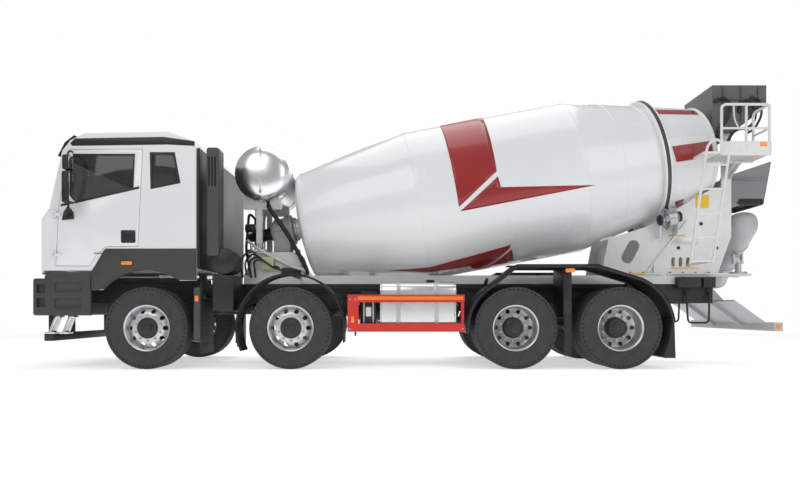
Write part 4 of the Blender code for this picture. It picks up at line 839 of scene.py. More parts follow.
        nuts.piece(f"nuts_{label}", NUT_STEEL, self.body)


def build_wheels() -> None:
    """All eight wheels."""
    for axle in range(1, 5):
        for word, side in SIDES:
            Wheel(axle, word, side).build()
    LOG.info("wheels ready")


# ------------------------------------------------------------------ cab
def inset(points: Sequence[Point], gap: float) -> list[Point]:
    """An outline moved inwards by a gap.

    Args:
        points: The outline, in either sense.
        gap: How far to move it.

    Returns:
        The smaller outline.
    """
    loop = [Vector(point[:2]) for point in points]
    area = sum(a.x * b.y - b.x * a.y for a, b in zip(loop, loop[1:] + loop[:1]))
    turn = 1.0 if area > 0 else -1.0
    moved = []
    for before, here, after in zip([loop[-1]] + loop, loop, loop[1:] + loop[:1]):
        first, second = (here - before).normalized(), (after - here).normalized()
        normals = [Vector((-way.y, way.x)) * turn for way in (first, second)]
        middle = (normals[0] + normals[1]).normalized()
        moved.append(tuple(here + middle * gap / middle.dot(normals[0])))
    return moved


@dataclass
class Cab:
    """The tilting cab with its doors, glass, trim, lid and inside."""

    front: float = -4.865
    floor: float = 1.32
    side: float = 1.245
    inside: float = 1.195
    back: float = -2.885
    arch_centre: Point = (-3.524, 0.53)
    arch_radius: float = 0.75
    door_gap: float = 0.006
    doors: dict[str, int] = field(default_factory=lambda: dict(SIDES))

    def spots(self, pairs: Sequence[Point]) -> list[Point]:
        """Outline points from distances behind the front wall and above the floor."""
        return [(self.front + x, self.floor + z) for x, z in pairs]

    def build(self) -> None:
        """Make the whole cab."""
        self.door_window = self.spots([(0.4, 1.45), (1.2, 1.45), (1.18, 0.99), (0.52, 0.84),
                                       (0.37, 0.82), (0.31, 0.92)])
        self.quarter_window = self.spots([(1.4, 1.456), (1.7, 1.456), (1.77, 1.08),
                                          (1.41, 1.007)])
        dress("cab_shell", WHITE, 0.012, crease=40)
        self.side_trim()
        self.fixed_glass()
        self.front_face()
        self.roof()
        for word, side in SIDES:
            self.door(word, side)
            self.mirror(word, side)
            self.seat(word, side)
        self.inner_parts()
        LOG.info("cab ready")

    def window_glass(self, outline: Sequence[Point], name: str, body: str, side: int,
                     setback: float) -> None:
        """A pane with its rubber seal in one side opening."""
        outer = self.side - setback
        pane = Shape().plate(inset(outline, 0.004), "Y", -outer, -outer + 0.006, 0.001)
        pane.flipped(side).piece(f"{name}_glass", GLASS, body)
        seal = Shape().plate(inset(outline, 0.0005), "Y", -outer - 0.007, -outer + 0.012, 0.002,
                             holes=[inset(outline, 0.02)])
        seal.flipped(side).piece(f"{name}_seal", TRIM_BLACK, body)

    def door(self, word: str, side: int) -> None:
        """Door panel with its glass, handle, seal line and hinges."""
        body = f"door_{word}"
        outline = self.spots([(0.18, 0.005), (0.62, 0.005), (0.7, 0.14), (0.82, 0.25),
                              (1.24, 0.26), (1.3, 1.51), (0.36, 1.51), (0.22, 0.8)])
        panel = Shape().plate(inset(outline, self.door_gap), "Y", -self.side, -self.inside, 0.006,
                              holes=[self.door_window])
        panel.flipped(side).piece(f"door_panel_{word}", WHITE, body, [f"door_{word}"], crease=40)
        self.window_glass(self.door_window, f"door_{word}_window", body, side, 0.014)
        band = self.spots([(0.245, 0.8), (1.255, 1.03), (1.255, 1.0), (0.245, 0.77)])
        Shape().plate(band, "Y", -self.side - 0.003, -self.side + 0.01, 0.001) \
            .flipped(side).piece(f"waist_strip_{word}", TRIM_BLACK, body)
        low, high, near, far = 1.625, 1.785, -3.845, -3.66
        middle = ((near + far) / 2, (low + high) / 2)
        surround = Shape().plate(oval(middle, (0.094, 0.082), 0.02), "Y", -self.side - 0.004,
                                 -self.side + 0.01, 0.003)
        for shift in (-0.046, 0.046):
            surround.lathe([(0.03, 0.0), (0.034, -0.003), (0.038, 0.0)],
                           (middle[0] + shift, -self.side - 0.003, middle[1]), (0, 1, 0), 24)
        surround.tube([(near + 0.02, -self.side - 0.006, middle[1] + 0.03),
                       (middle[0], -self.side - 0.02, middle[1] + 0.034),
                       (far - 0.02, -self.side - 0.006, middle[1] + 0.03)], 0.01, 3, 0.05)
        surround.rod((middle[0] + 0.046, -self.side - 0.006, middle[1] - 0.03),
                     (middle[0] + 0.046, -self.side + 0.004, middle[1] - 0.03), 0.012, 20, 0.002)
        surround.flipped(side).piece(f"door_handle_{word}", TRIM_BLACK, body)
        hinges = Shape()
        for z in (self.floor + 0.13, self.floor + 0.65):
            hinges.rod((-4.679, -1.259, z - 0.002), (-4.679, -1.259, z + 0.042), 0.0105, 16, 0.002)
            hinges.block((-4.679, -4.616), (-1.2645, -1.243), (z, z + 0.04), 0.003)
        hinges.flipped(side).piece(f"door_hinges_{word}", WHITE, body)
        inner = Shape().plate(inset(self.spots([(0.2, 0.03), (0.6, 0.03), (0.69, 0.18),
                                                (0.8, 0.29), (1.22, 0.3), (1.24, 0.94),
                                                (0.26, 0.72)]), 0.01),
                              "Y", -self.inside - 0.004, -self.inside + 0.016, 0.006)
        inner.block((-4.4, -3.8), (-1.21, -1.15), (1.86, 1.91), 0.015, 3)
        inner.flipped(side).piece(f"door_lining_{word}", CHARCOAL, body)

    def mirror(self, word: str, side: int) -> None:
        """Mirror head with two glasses, on its arm at the door's front corner."""
        body = f"door_{word}"
        head = Shape().block((-4.482, -4.385), (-1.512, -1.348), (2.1, 2.5), 0.03, 4)
        head.block((-4.478, -4.392), (-1.505, -1.355), (2.515, 2.705), 0.026, 4)
        head.tube([(-4.44, -1.405, 2.03), (-4.445, -1.405, 2.76), (-4.455, -1.3, 2.788),
                   (-4.47, -1.238, 2.788)], 0.0125, 4, 0.08)
        head.tube([(-4.44, -1.405, 2.06), (-4.5, -1.36, 1.99), (-4.53, -1.25, 1.955)], 0.016, 4,
                  0.05)
        foot = [(-4.6, 1.915), (-4.445, 1.93), (-4.455, 2.02), (-4.52, 2.1), (-4.575, 2.02)]
        head.plate(foot, "Y", -self.side - 0.022, -self.side + 0.004, 0.007)
        head.flipped(side).piece(f"mirror_housing_{word}", TRIM_BLACK, body)
        glass = Shape().block((-4.388, -4.382), (-1.495, -1.365), (2.125, 2.475), 0.0025, 2)
        glass.block((-4.396, -4.39), (-1.49, -1.37), (2.535, 2.685), 0.0025, 2)
        glass.flipped(side).piece(f"mirror_glass_{word}", MIRROR, body)

    def fixed_glass(self) -> None:
        """Quarter windows, rear window and windscreen."""
        for word, side in SIDES:
            self.window_glass(self.quarter_window, f"quarter_{word}", "cab", side, 0.01)
            lip = Shape().plate(inset(self.quarter_window, -0.012), "Y", -self.side - 0.002,
                                -self.side + 0.004, 0.001, holes=[self.quarter_window])
            lip.flipped(side).piece(f"quarter_surround_{word}", TRIM_BLACK, "cab")
        low, high = self.floor + 0.99, self.floor + 1.35
        opening = oval((0.0, (low + high) / 2), (0.69, (high - low) / 2), 0.02)
        x = self.back - 0.032
        Shape().plate(inset(opening, 0.004), "X", x, x + 0.006, 0.001).piece(
            "rear_window_glass", GLASS, "cab")
        Shape().plate(inset(opening, 0.001), "X", x - 0.01, x + 0.034, 0.003,
                      holes=[inset(opening, 0.022)]).piece("rear_window_seal", TRIM_BLACK, "cab")
        dress("windscreen", GLASS, 0.004)
        slope = 0.167 / 0.74
        frame_low, frame_high = self.floor + 0.8, self.floor + 1.45
        screen = Shape()
        rim = oval((0.0, (frame_low + frame_high) / 2), (1.1, (frame_high - frame_low) / 2), 0.03)
        screen.plate(inset(rim, -0.012), "X", 0.0, 0.008, 0.002, holes=[inset(rim, 0.026)])
        for vert in screen.bm.verts:
            vert.co.x += self.front + 0.1 + slope * (vert.co.z - self.floor - 0.75) - 0.004
        screen.piece("windscreen_surround", TRIM_BLACK, "cab")
        wipers = Shape()
        for y in (-0.62, 0.34):
            root = Vector((self.front + 0.075, y, self.floor + 0.775))
            tip = Vector((self.front + 0.152, y + 0.52, self.floor + 0.86))
            wipers.rod(root, root + Vector((-0.02, 0, 0.012)), 0.02, 20, 0.004)
            wipers.tube([root + Vector((-0.014, 0, 0.01)), (root + tip) / 2
                         + Vector((-0.022, 0, 0.014)), tip + Vector((-0.02, 0, 0.01))], 0.006, 3,
                        0.1)
            blade_low = tip + Vector((-0.008, -0.36, -0.03))
            wipers.tube([blade_low, tip + Vector((-0.012, 0, 0.0)), tip
                         + Vector((-0.004, 0.26, 0.02))], 0.005, 3, 0.1)
        wipers.piece("wipers", TRIM_BLACK, "cab")

    def side_trim(self) -> None:
        """Charcoal arch panels, marker lamps and the steps behind the front corners."""
        span = (-(self.side + 0.0045), -(self.side - 0.02))
        edge = arc(self.arch_centre, self.arch_radius - 0.006, 56.0, 138.0, 16)
        panel = [(-4.172, 1.345), (-4.06, 1.54), (-4.035, 1.552), (self.back + 0.004, 1.552),
                 (self.back + 0.004, 1.142)] + edge + [(-4.205, 1.012), (-4.226, 1.03),
                                                       (-4.226, 1.262)]
        trim = Shape().plate(panel, "Y", *span, 0.004)
        lip = Shape()
        lip.lathe([(0.744, 0.0), (0.744, 0.055), (0.757, 0.058), (0.768, 0.05), (0.766, 0.04),
                   (0.754, 0.034), (0.754, 0.0)],
                  (self.arch_centre[0], -(self.side - 0.048), self.arch_centre[1]), (0, -1, 0), 40,
                  loop=True, sweep=math.radians(82), hint=(math.cos(math.radians(56)), 0,
                                                          math.sin(math.radians(56))))
        trim.take(lip.bm)
        trim.block((-4.19, -2.9), (-1.2515, -1.245), (1.486, 1.496), 0.002)
        trim.block((-2.93, -2.888), (-1.249, -1.2), (1.145, 1.545), 0.006)
        trim.mirrored().piece("arch_panels", CHARCOAL, "cab", crease=40)
        lamps = Shape().block((-3.84, -3.7), (-1.262, -1.246), (1.342, 1.388), 0.009, 3)
        lamps.mirrored().piece("side_marker_lamps", AMBER, "cab")
        base = Shape().block((-3.85, -3.69), (-1.254, -1.244), (1.334, 1.396), 0.006)
        base.mirrored().piece("side_marker_bases", TRIM_BLACK, "cab")
        sill = Shape().block((-4.8, -4.2), (-1.243, -1.215), (1.275, 1.322), 0.006)
        sill.mirrored().piece("door_sills", TRIM_BLACK, "cab")

    def front_face(self) -> None:
        """Lid with its slats, the lamps, the bumper and the step brackets."""
        x = -4.905
        lid = Shape().block((x, -4.8655), (-1.05, 1.05), (1.252, 1.918), 0.012, 3)
        lid.piece("front_lid_panel", WHITE, "front_lid", ["front_panel"])
        grille = Shape().plate(oval((0.0, 1.6), (0.86, 0.2), 0.05), "X", x - 0.006, x + 0.004,
                               0.002)
        for row in range(5):
            z = 1.455 + row * 0.072
            grille.plate([(x - 0.005, z), (x - 0.026, z + 0.01), (x - 0.024, z + 0.032),
                          (x - 0.005, z + 0.04)], "Y", -0.83, 0.83, 0.003)
        grille.piece("grille_slats", TRIM_BLACK, "front_lid")
        bumper = Shape().block((-4.985, -4.7653), (-1.245, 1.245), (0.692, 1.17), 0.03, 4)
        steps = Shape()
        for z in (0.8, 0.98):
            steps.block((-4.93, -4.78), (-1.3, -1.19), (z, z + 0.115), 0.012)
        bumper.less(steps.mirrored())
        side_panel = [(-4.817, 0.692), (-4.236, 0.692), (-4.236, 1.235), (-4.3, 1.248),
                      (-4.79, 1.248), (-4.83, 1.2)]
        wing = Shape().plate(side_panel, "Y", -1.2455, -1.196, 0.01)
        pocket = Shape().block((-4.7, -4.36), (-1.28, -1.222), (0.775, 0.905), 0.02)
        pocket.block((-4.7, -4.36), (-1.28, -1.222), (0.985, 1.115), 0.02)
        wing.less(pocket)
        for z in (0.778, 0.988):
            wing.block((-4.7, -4.36), (-1.243, -1.222), (z, z + 0.014), 0.003)
        bumper.take(wing.mirrored().bm)
        bumper.piece("bumper", CHARCOAL, replaces=["front_bumper"], crease=40)
        beam = Shape().block((-4.885, -4.765), (-1.15, 1.15), (0.36, 0.46), 0.01)
        for y in (0.52, 1.02):
            for sign in (-1, 1):
                beam.block((-4.865, -4.785), side_span(sign, y, y + 0.06), (0.45, 0.7), 0.006)
        beam.piece("underrun_beam", CHASSIS_BLACK)
        brackets = Shape()
        for start in (-4.8, -4.62):
            brackets.plate([(start - 0.07, 0.455), (start + 0.05, 0.455), (start + 0.055, 0.475),
                            (start + 0.01, 0.478), (start + 0.085, 0.665), (start + 0.12, 0.668),
                            (start + 0.12, 0.69), (start + 0.055, 0.69), (start - 0.03, 0.478),
                            (start - 0.07, 0.475)], "Y", -1.15, -1.02, 0.003)
        brackets.mirrored().piece("step_brackets", BRIGHT_ALLOY)
        lamp = Shape().plate(oval((-0.98, 1.03), (0.21, 0.085), 0.05), "X", -4.991, -4.97, 0.004)
        lamp.plate(oval((-0.98, 0.82), (0.1, 0.05), 0.04), "X", -4.989, -4.97, 0.004)
        for vert in lamp.bm.verts:
            vert.co.x = max(vert.co.x, -4.985)
        lamp.mirrored().piece("head_lamps", CLEAR_LENS)
        signals = Shape().plate(oval((-0.72, 1.03), (0.03, 0.075), 0.02), "X", -4.985, -4.97, 0.003)
        signals.mirrored().piece("front_signals", AMBER)
        plate = Shape().block((-4.985, -4.978), (-0.26, 0.26), (0.76, 0.87), 0.003)
        plate.piece("blank_plate", PALE_GREY)

    def roof(self) -> None:
        """Side rails along the roof's edges and the sun visor."""
        rails = Shape()
        rails.plate([(-4.5, 2.9), (-4.44, 2.965), (-3.3, 2.985), (-2.9, 2.93), (-2.9, 2.868),
                     (-3.25, 2.885), (-4.47, 2.868)], "Y", -self.side - 0.004, -self.side + 0.02,
                    0.005)
        for lift in (0.022, 0.044):
            rails.plate([(-4.44, 2.873 + lift), (-3.27, 2.89 + lift), (-3.27, 2.896 + lift),
                         (-4.44, 2.879 + lift)], "Y", -self.side - 0.008, -self.side, 0.002)
        rails.mirrored().piece("roof_rails", TRIM_BLACK, "cab")
        visor = Shape()
        section = [(-4.665, 2.742), (-4.62, 2.735), (-4.54, 2.9), (-4.44, 3.0),
                   (-4.452, 3.014), (-4.575, 2.918)]
        visor.plate(section, "Y", -1.235, 1.235, 0.004)
        for y in (-1.235, 1.205):
            visor.plate([(-4.64, 2.742), (-4.56, 2.76), (-4.44, 2.9), (-4.43, 3.0),
                         (-4.452, 3.012), (-4.556, 2.912)], "Y", y, y + 0.03, 0.005)
        for y in (-0.7, 0.0, 0.7):
            visor.tube([(-4.565, y, 2.86), (-4.5, y, 2.86)], 0.01, 3)
        visor.piece("sun_visor", TRIM_BLACK, "cab")
        lamps = Shape()
        for y in (-0.95, -0.35, 0.35, 0.95):
            lamps.block((-4.44, -4.37), (y - 0.06, y + 0.06), (3.0, 3.028), 0.01, 3)
        lamps.piece("roof_marker_lamps", AMBER, "cab")

    def seat(self, word: str, side: int) -> None:
        """Padded seat with piped channels, on its plastic base."""
        y = side * 0.58
        x0, z0 = self.front, self.floor
        pads = Shape()
        pads.take(self.pad(0.5, 0.52, 0.15), Matrix.Translation((x0 + 1.21, y, z0 + 0.405)))
        tilt = Matrix.Rotation(math.radians(-76), 4, "Y")
        pads.take(self.pad(0.62, 0.48, 0.13),
                  Matrix.Translation((x0 + 1.545, y, z0 + 0.745)) @ tilt)
        pads.take(self.pad(0.19, 0.29, 0.1), Matrix.Translation((x0 + 1.62, y, z0 + 1.045)) @ tilt)
        cushion = pads.piece(f"seat_pads_{word}", SEAT_CLOTH, "cab", [f"seat_{word}"], crease=80)
        base = Shape().block((x0 + 1.02, x0 + 1.36), (y - 0.17, y + 0.17), (z0 + 0.001, z0 + 0.27),
                             0.03, 3)
        base.block((x0 + 0.98, x0 + 1.44), (y - 0.235, y + 0.235), (z0 + 0.27, z0 + 0.345), 0.02, 3)
        base.piece(f"seat_base_{word}", CHARCOAL, "cab")
        belt = Shape().tube([(x0 + 1.66, y + side * 0.2, z0 + 1.1),
                             (x0 + 1.6, y + side * 0.16, z0 + 0.8),
                             (x0 + 1.44, y + side * 0.245, z0 + 0.42)], 0.006, 3, 0.1)
        belt.piece(f"seat_belt_{word}", TRIM_BLACK, "cab")

    def pad(self, length: float, width: float, thick: float) -> bmesh.types.BMesh:
        """A crowned cushion with sewn channels along it.

        Args:
            length: Size along X.
            width: Size along Y.
            thick: Thickness at the middle.

        Returns:
            The cushion, centred on the origin.
        """
        made = bmesh.new()
        bmesh.ops.create_cube(made, size=1.0)
        bmesh.ops.subdivide_edges(made, edges=made.edges[:], cuts=15, use_grid_fill=True)
        for vert in made.verts:
            u, v, w = vert.co * 2
            pull = 1.0 - 0.1 * (u * u + v * v) / 2 - 0.05 * w * w
            crown = 1.0 - 0.3 * (abs(u) ** 4 + abs(v) ** 4) / 2
            channel = 0.05 * math.exp(-((abs(v) - 0.42) / 0.05) ** 2)
            vert.co = Vector((u * length / 2 * pull, v * width / 2 * pull,
                              w * thick / 2 * (crown - channel)))
        bmesh.ops.smooth_vert(made, verts=made.verts, factor=0.5, use_axis_x=True, use_axis_y=True,
                              use_axis_z=True)
        bmesh.ops.smooth_vert(made, verts=made.verts, factor=0.5, use_axis_x=True, use_axis_y=True,
                              use_axis_z=True)
        return made

    def inner_parts(self) -> None:
        """Dashboard, column, dials, steering wheel and back lining."""
        dress("dashboard", CHARCOAL, 0.012)
        hub = Vector((-4.145, -0.58, 2.04))
        axis = Vector((0.6, 0.0, 0.8))
        wheel = Shape().lathe([(0.225 + 0.0145 * u, 0.0145 * v) for u, v in ring(14, 1.0)],
                              hub, axis, 64, loop=True)
        wheel.lathe([(0.0, -0.03), (0.05, -0.028), (0.062, -0.01), (0.06, 0.01),
                     (0.045, 0.019), (0.0, 0.02)], hub, axis, 32)
        matrix = aim(hub, axis)
        for turn in (30, 150, 270):
            way = Vector((math.cos(math.radians(turn)), math.sin(math.radians(turn)), 0.0))
            wheel.tube([matrix @ (way * 0.04 - Vector((0, 0, 0.012))),
                        matrix @ (way * 0.13 - Vector((0, 0, 0.022))),
                        matrix @ (way * 0.222)], 0.011, 4, 0.05)
        wheel.piece("steering_rim", TRIM_BLACK, "steering_wheel", ["steering_wheel"])
        lining = Shape().block((self.back - 0.085, self.back - 0.052), (-1.18, 1.18),
                               (self.floor + 0.05, self.floor + 0.93), 0.02, 3)
        lining.block((self.front + 0.5, self.back - 0.08), (-1.15, 1.15),
                     (self.floor + 0.0005, self.floor + 0.012), 0.004)
        lining.piece("cab_lining", CHARCOAL, "cab")


# ------------------------------------------------------------------ chassis
@dataclass
class Chassis:
    """Frame, axles, engine, guards, tanks and what is bolted between the wheels."""

    axles: tuple[float, ...] = (-3.524, -1.674, 1.226, 2.576)
    rail_low: float = 0.86
    rail_top: float = 1.13
    outer: float = 1.25

    def build(self) -> None:
        """Make the chassis and its fittings."""
        dress("chassis_frame", CHASSIS_BLACK, 0.003)
        dress("engine_block", IRON, 0.015)
        for axle in (1, 2):
            dress(f"steer_axle_{axle}", CHASSIS_BLACK, 0.006)
            for word, _ in SIDES:
                dress(f"knuckle_{axle}_{word}", IRON, 0.005)
        for axle in (3, 4):
            dress(f"drive_axle_{axle}", CHASSIS_BLACK, 0.008)
        self.frame_details()
        self.front_flaps()
        self.middle_guards()
        self.rear_guards()
        self.side_guards()
        self.fuel_tank()
        self.battery_box()
        self.intake()
        LOG.info("chassis ready")

    def frame_details(self) -> None:
        """Frame bolts, prop shafts, spring clips, air tanks and lines."""
        bolts = Shape()
        for sign in (-1, 1):
            for step in range(42):
                x = -4.6 + step * 0.208
                for z in (self.rail_low + 0.06, self.rail_top - 0.06):
                    bolts.rod((x, sign * 0.43, z), (x, sign * 0.44, z), 0.011, 6)
        bolts.piece("frame_bolts", CHASSIS_BLACK)
        shafts = Shape().rod((-2.46, 0, 0.82), (0.86, 0, 0.6), 0.055, 24, 0.004)
        shafts.rod((1.46, 0, 0.56), (2.2, 0, 0.555), 0.05, 24, 0.004)
        for x, z in ((-2.44, 0.82), (0.84, 0.602), (1.48, 0.56), (2.19, 0.555)):
            shafts.rod((x - 0.03, 0, z), (x + 0.03, 0, z), 0.085, 24, 0.004)
        shafts.piece("prop_shafts", CHASSIS_BLACK)
        clips = Shape()
        for x in self.axles:
            for sign in (-1, 1):
                y = sign * 0.395
                for dx in (-0.1, -0.055, 0.055, 0.1):
                    clips.rod((x + dx, y - 0.045, 0.5), (x + dx, y - 0.045, 0.73), 0.011, 10)
                    clips.rod((x + dx, y + 0.045, 0.5), (x + dx, y + 0.045, 0.73), 0.011, 10)
                clips.block((x - 0.13, x + 0.13), (y - 0.06, y + 0.06), (0.715, 0.745), 0.006)
        clips.piece("spring_clips", CHASSIS_BLACK)
        tanks = Shape()
        for x in (-0.55, 0.25):
            tanks.rod((x - 0.33, 0.0, 0.735), (x + 0.33, 0.0, 0.735), 0.125, 40, 0.035)
        tanks.piece("air_tanks", CHASSIS_BLACK)
        lines = Shape()
        for offset in (0.0, 0.022, 0.044):
            lines.tube([(-2.4, -0.448, 1.07 - offset), (-0.9, -0.449, 1.06 - offset),
                        (0.6, -0.448, 1.075 - offset), (3.4, -0.449, 1.06 - offset)], 0.007, 2, 0.2)
        lines.mirrored().piece("air_lines", HOSE)

    def front_flaps(self) -> None:
        """Flap, outer strip and reflector behind each front wheel."""
        x = self.axles[0] + 0.69
        flap = Shape().block((x, x + 0.012), (-1.23, -0.66), (0.19, 1.12), 0.003)
        for z in (0.3, 0.42, 0.54):
            flap.block((x - 0.004, x + 0.016), (-1.2, -0.7), (z, z + 0.012), 0.002)
        strip = Shape().plate(oval((x - 0.038, 0.715), (0.042, 0.34), 0.03), "Y", -1.243, -1.2,
                              0.006)
        flap.mirrored().piece("front_flaps", FLAP, replaces=["wing_flap_left", "wing_flap_right"])
        arm = Shape().block((x + 0.012, x + 0.045), (-1.15, -0.43), (0.91, 0.96), 0.004)
        arm.mirrored().piece("front_flap_arms", CHASSIS_BLACK)
        strip.mirrored().piece("front_flap_strips", STACK_GREY)
        # These reflectors glow through the amber finish: a painted highlight.
        lens = Shape().block((x - 0.065, x - 0.02), (-1.25, -1.238), (0.875, 0.945), 0.006, 3)
        lens.mirrored().piece("front_flap_reflectors", AMBER)

    def guard_shell(self, path: Sequence[Point], inner: float, wall: float = 0.008,
                    lip: float = 0.024) -> Shape:
        """A wheel cover swept along a path in the side plane, with turned-in lips.

        Args:
            path: Outer line of the cover, from front to rear.
            inner: Its inner edge from the truck's middle.
            wall: Thickness of the sheet.
            lip: Depth of the lips.

        Returns:
            The cover on the left side.
        """
        outer = -self.outer
        lower = offset_path(path, -wall)
        deep = offset_path(path, -lip)
        shape = Shape().plate(list(path) + lower[::-1], "Y", outer, -inner)
        shape.plate(list(path) + deep[::-1], "Y", outer, outer + 0.01, 0.003)
        shape.plate(list(path) + deep[::-1], "Y", -inner - 0.008, -inner, 0.002)
        return shape

    def middle_guards(self) -> None:
        """Round covers and small flaps over the second wheels."""
        x, z = self.axles[1], 0.53
        path = arc((x, z), 0.708, 205.0, 0.0, 36)
        cover = self.guard_shell(path, 0.9)
        for turn in (160, 90, 25):
            spoke = math.radians(turn)
            foot = (x + 0.69 * math.cos(spoke), -0.92, z + 0.69 * math.sin(spoke))
            cover.tube([foot, (foot[0], -0.44, max(foot[2], 0.95))], 0.022, 4)
        flap = Shape().block((-2.378, -2.366), (-1.24, -0.92), (0.335, 0.6), 0.003)
        flap.block((-1.0, -0.988), (-1.24, -0.92), (0.34, 0.56), 0.003)
        flap.mirrored().piece("second_wheel_flaps", FLAP)
        cover.mirrored().piece("second_wheel_covers", TRIM_BLACK,
                               replaces=["middle_mudguard_left", "middle_mudguard_right"])

    def rear_guards(self) -> None:
        """Long covers over the driven wheels, with flap, centre stay and lamps."""
        first, last, z = self.axles[2], self.axles[3], 0.53
        path = (arc((first, z), 0.645, 186.0, 118.0, 12)
                + [(first + 0.02, 1.352), (last - 0.3, 1.352)]
                + arc((last, z), 0.7, 68.0, 8.0, 14))
        cover = self.guard_shell(path, 0.62, 0.01, 0.045)
        cover.plate([(first - 0.12, 1.335), (last - 0.28, 1.335), (last - 0.26, 1.31),
                     (first - 0.14, 1.31)], "Y", -self.outer + 0.002, -self.outer + 0.016, 0.003)
        middle = (first + last) / 2
        cover.block((middle - 0.055, middle + 0.055), (-1.19, -0.62), (0.66, 1.345), 0.012)
        for x in (first - 0.3, middle, last + 0.32):
            cover.tube([(x, -0.66, 1.18), (x, -0.44, 1.1)], 0.024, 4)
        cover.mirrored().piece("rear_wheel_covers", TRIM_BLACK,
                               replaces=["rear_mudguard_left", "rear_mudguard_right"], crease=30)
        flap = Shape().plate([(last + 0.665, 0.66), (last + 0.682, 0.66), (last + 0.7, 0.145),
                              (last + 0.56, 0.145), (last + 0.545, 0.165), (last + 0.62, 0.4)],
                             "Y", -1.245, -0.63, 0.005)
        flap.block((middle - 0.05, middle + 0.05), (-1.2, -1.188), (0.17, 0.7), 0.005)
        flap.mirrored().piece("rear_flaps", FLAP)
        lamp = Shape().plate(oval((middle + 0.02, 1.272), (0.062, 0.026), 0.024, 6), "Y",
                             -self.outer, -self.outer + 0.03, 0.006)
        lamp.mirrored().piece("rear_guard_lamps", AMBER)

    def side_guards(self) -> None:
        """Red rails with an orange stripe, front plate and stays."""
        for word, side in SIDES:
            low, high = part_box(f"side_guard_{word}")
            Shape().copy_of(f"side_guard_{word}").piece(f"side_guard_{word}_rails", GUARD_RED,
                                                        replaces=[f"side_guard_{word}"], crease=35,
                                                        soften=0.004)
            stripe = Shape().block((low.x + 0.13, high.x - 0.02), (-1.2412, -1.236),
                                   (high.z - 0.066, high.z - 0.022), 0.001)
            stripe.flipped(side).piece(f"side_guard_{word}_stripe", AMBER_PAINT)
            lamp = Shape().block((low.x + 0.045, low.x + 0.085), (-1.246, -1.236), (0.6, 0.68),
                                 0.006, 3)
            lamp.flipped(side).piece(f"side_guard_{word}_lamp", AMBER)
            heads = Shape()
            for x, z in ((low.x + 0.03, 0.52), (low.x + 0.03, 0.9), (high.x - 0.03, 0.9),
                         (high.x - 0.03, 0.52), (low.x + 0.1, 0.9)):
                heads.rod((x, -1.236, z), (x, -1.246, z), 0.012, 6)
            heads.flipped(side).piece(f"side_guard_{word}_bolts", NUT_STEEL)

    def fuel_tank(self) -> None:
        """Rounded alloy tank with end seams, straps, brackets and cap."""
        low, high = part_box("fuel_tank")
        top = high.z - 0.03
        x0, x1 = low.x, high.x
        y_mid, z_mid = (-1.16 - 0.56) / 2, (0.5 + top) / 2
        half = ((1.16 - 0.56) / 2, (top - 0.5) / 2)
        tank = Shape().plate(oval((y_mid, z_mid), half, 0.12, 8), "X", x0 + 0.02, x1 - 0.02, 0.012)
        for x in (x0, x1 - 0.022):
            tank.plate(inset(oval((y_mid, z_mid), half, 0.12, 8), 0.006), "X", x + 0.001, x + 0.021,
                       0.006)
        tank.piece("fuel_tank_shell", BRIGHT_ALLOY, replaces=["fuel_tank"])
        straps = Shape()
        for share in (0.24, 0.74):
            x = x0 + (x1 - x0) * share
            rim = oval((y_mid, z_mid), (half[0] + 0.004, half[1] + 0.004), 0.122, 8)
            straps.plate(rim, "X", x - 0.028, x + 0.028, 0.002,
                         holes=[oval((y_mid, z_mid), half, 0.12, 8)])
            straps.block((x - 0.04, x + 0.04), (-0.575, -0.43), (0.5, 1.02), 0.006)
            straps.rod((x, -1.168, z_mid + 0.12), (x, -1.168, z_mid + 0.22), 0.009, 10)
        straps.piece("fuel_tank_straps", PALE_STEEL)
        cap = Shape().lathe([(0.0, 0.042), (0.04, 0.042), (0.052, 0.034), (0.054, 0.01),
                             (0.062, 0.006), (0.062, 0.0), (0.0, 0.0)],
                            (x0 + 0.66, -0.96, top - 0.004), (0, 0, 1), 40)
        cap.bolts((x0 + 0.66, -0.96, top + 0.02), (0, 0, 1), 0.052, 14, 0.007, 0.012, 6)
        cap.piece("fuel_cap", TRIM_BLACK)

    def battery_box(self) -> None:
        """Battery box with a ribbed lid, clips and two banded posts."""
        low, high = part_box("battery_box")
        x0, x1 = low.x, high.x
        case = Shape().block((x0, x1), (-1.14, -0.6), (0.585, 0.945), 0.018, 3)
        case.block((x0 - 0.004, x1 + 0.004), (-1.14, -0.595), (0.945, 1.0), 0.014, 3)
        for step in range(5):
            y = -1.05 + step * 0.1
            case.block((x0 + 0.01, x1 - 0.01), (y - 0.012, y + 0.012), (0.996, 1.003), 0.003)
        case.block((x0 + 0.03, x1 - 0.03), (-0.62, -0.43), (0.66, 0.9), 0.008)
        case.piece("battery_case", TRIM_BLACK, replaces=["battery_box"])
        posts = Shape()
        for x in (x0 + 0.04, x1 - 0.04):
            posts.block((x - 0.006, x + 0.006), (-1.147, -1.138), (0.6, 0.93), 0.002)
        label = Shape().block((x0 + 0.065, x1 - 0.065), (-1.1425, -1.139), (0.68, 0.8), 0.001)
        posts.take(label.bm)
        posts.piece("battery_bands", FRAME_WHITE)

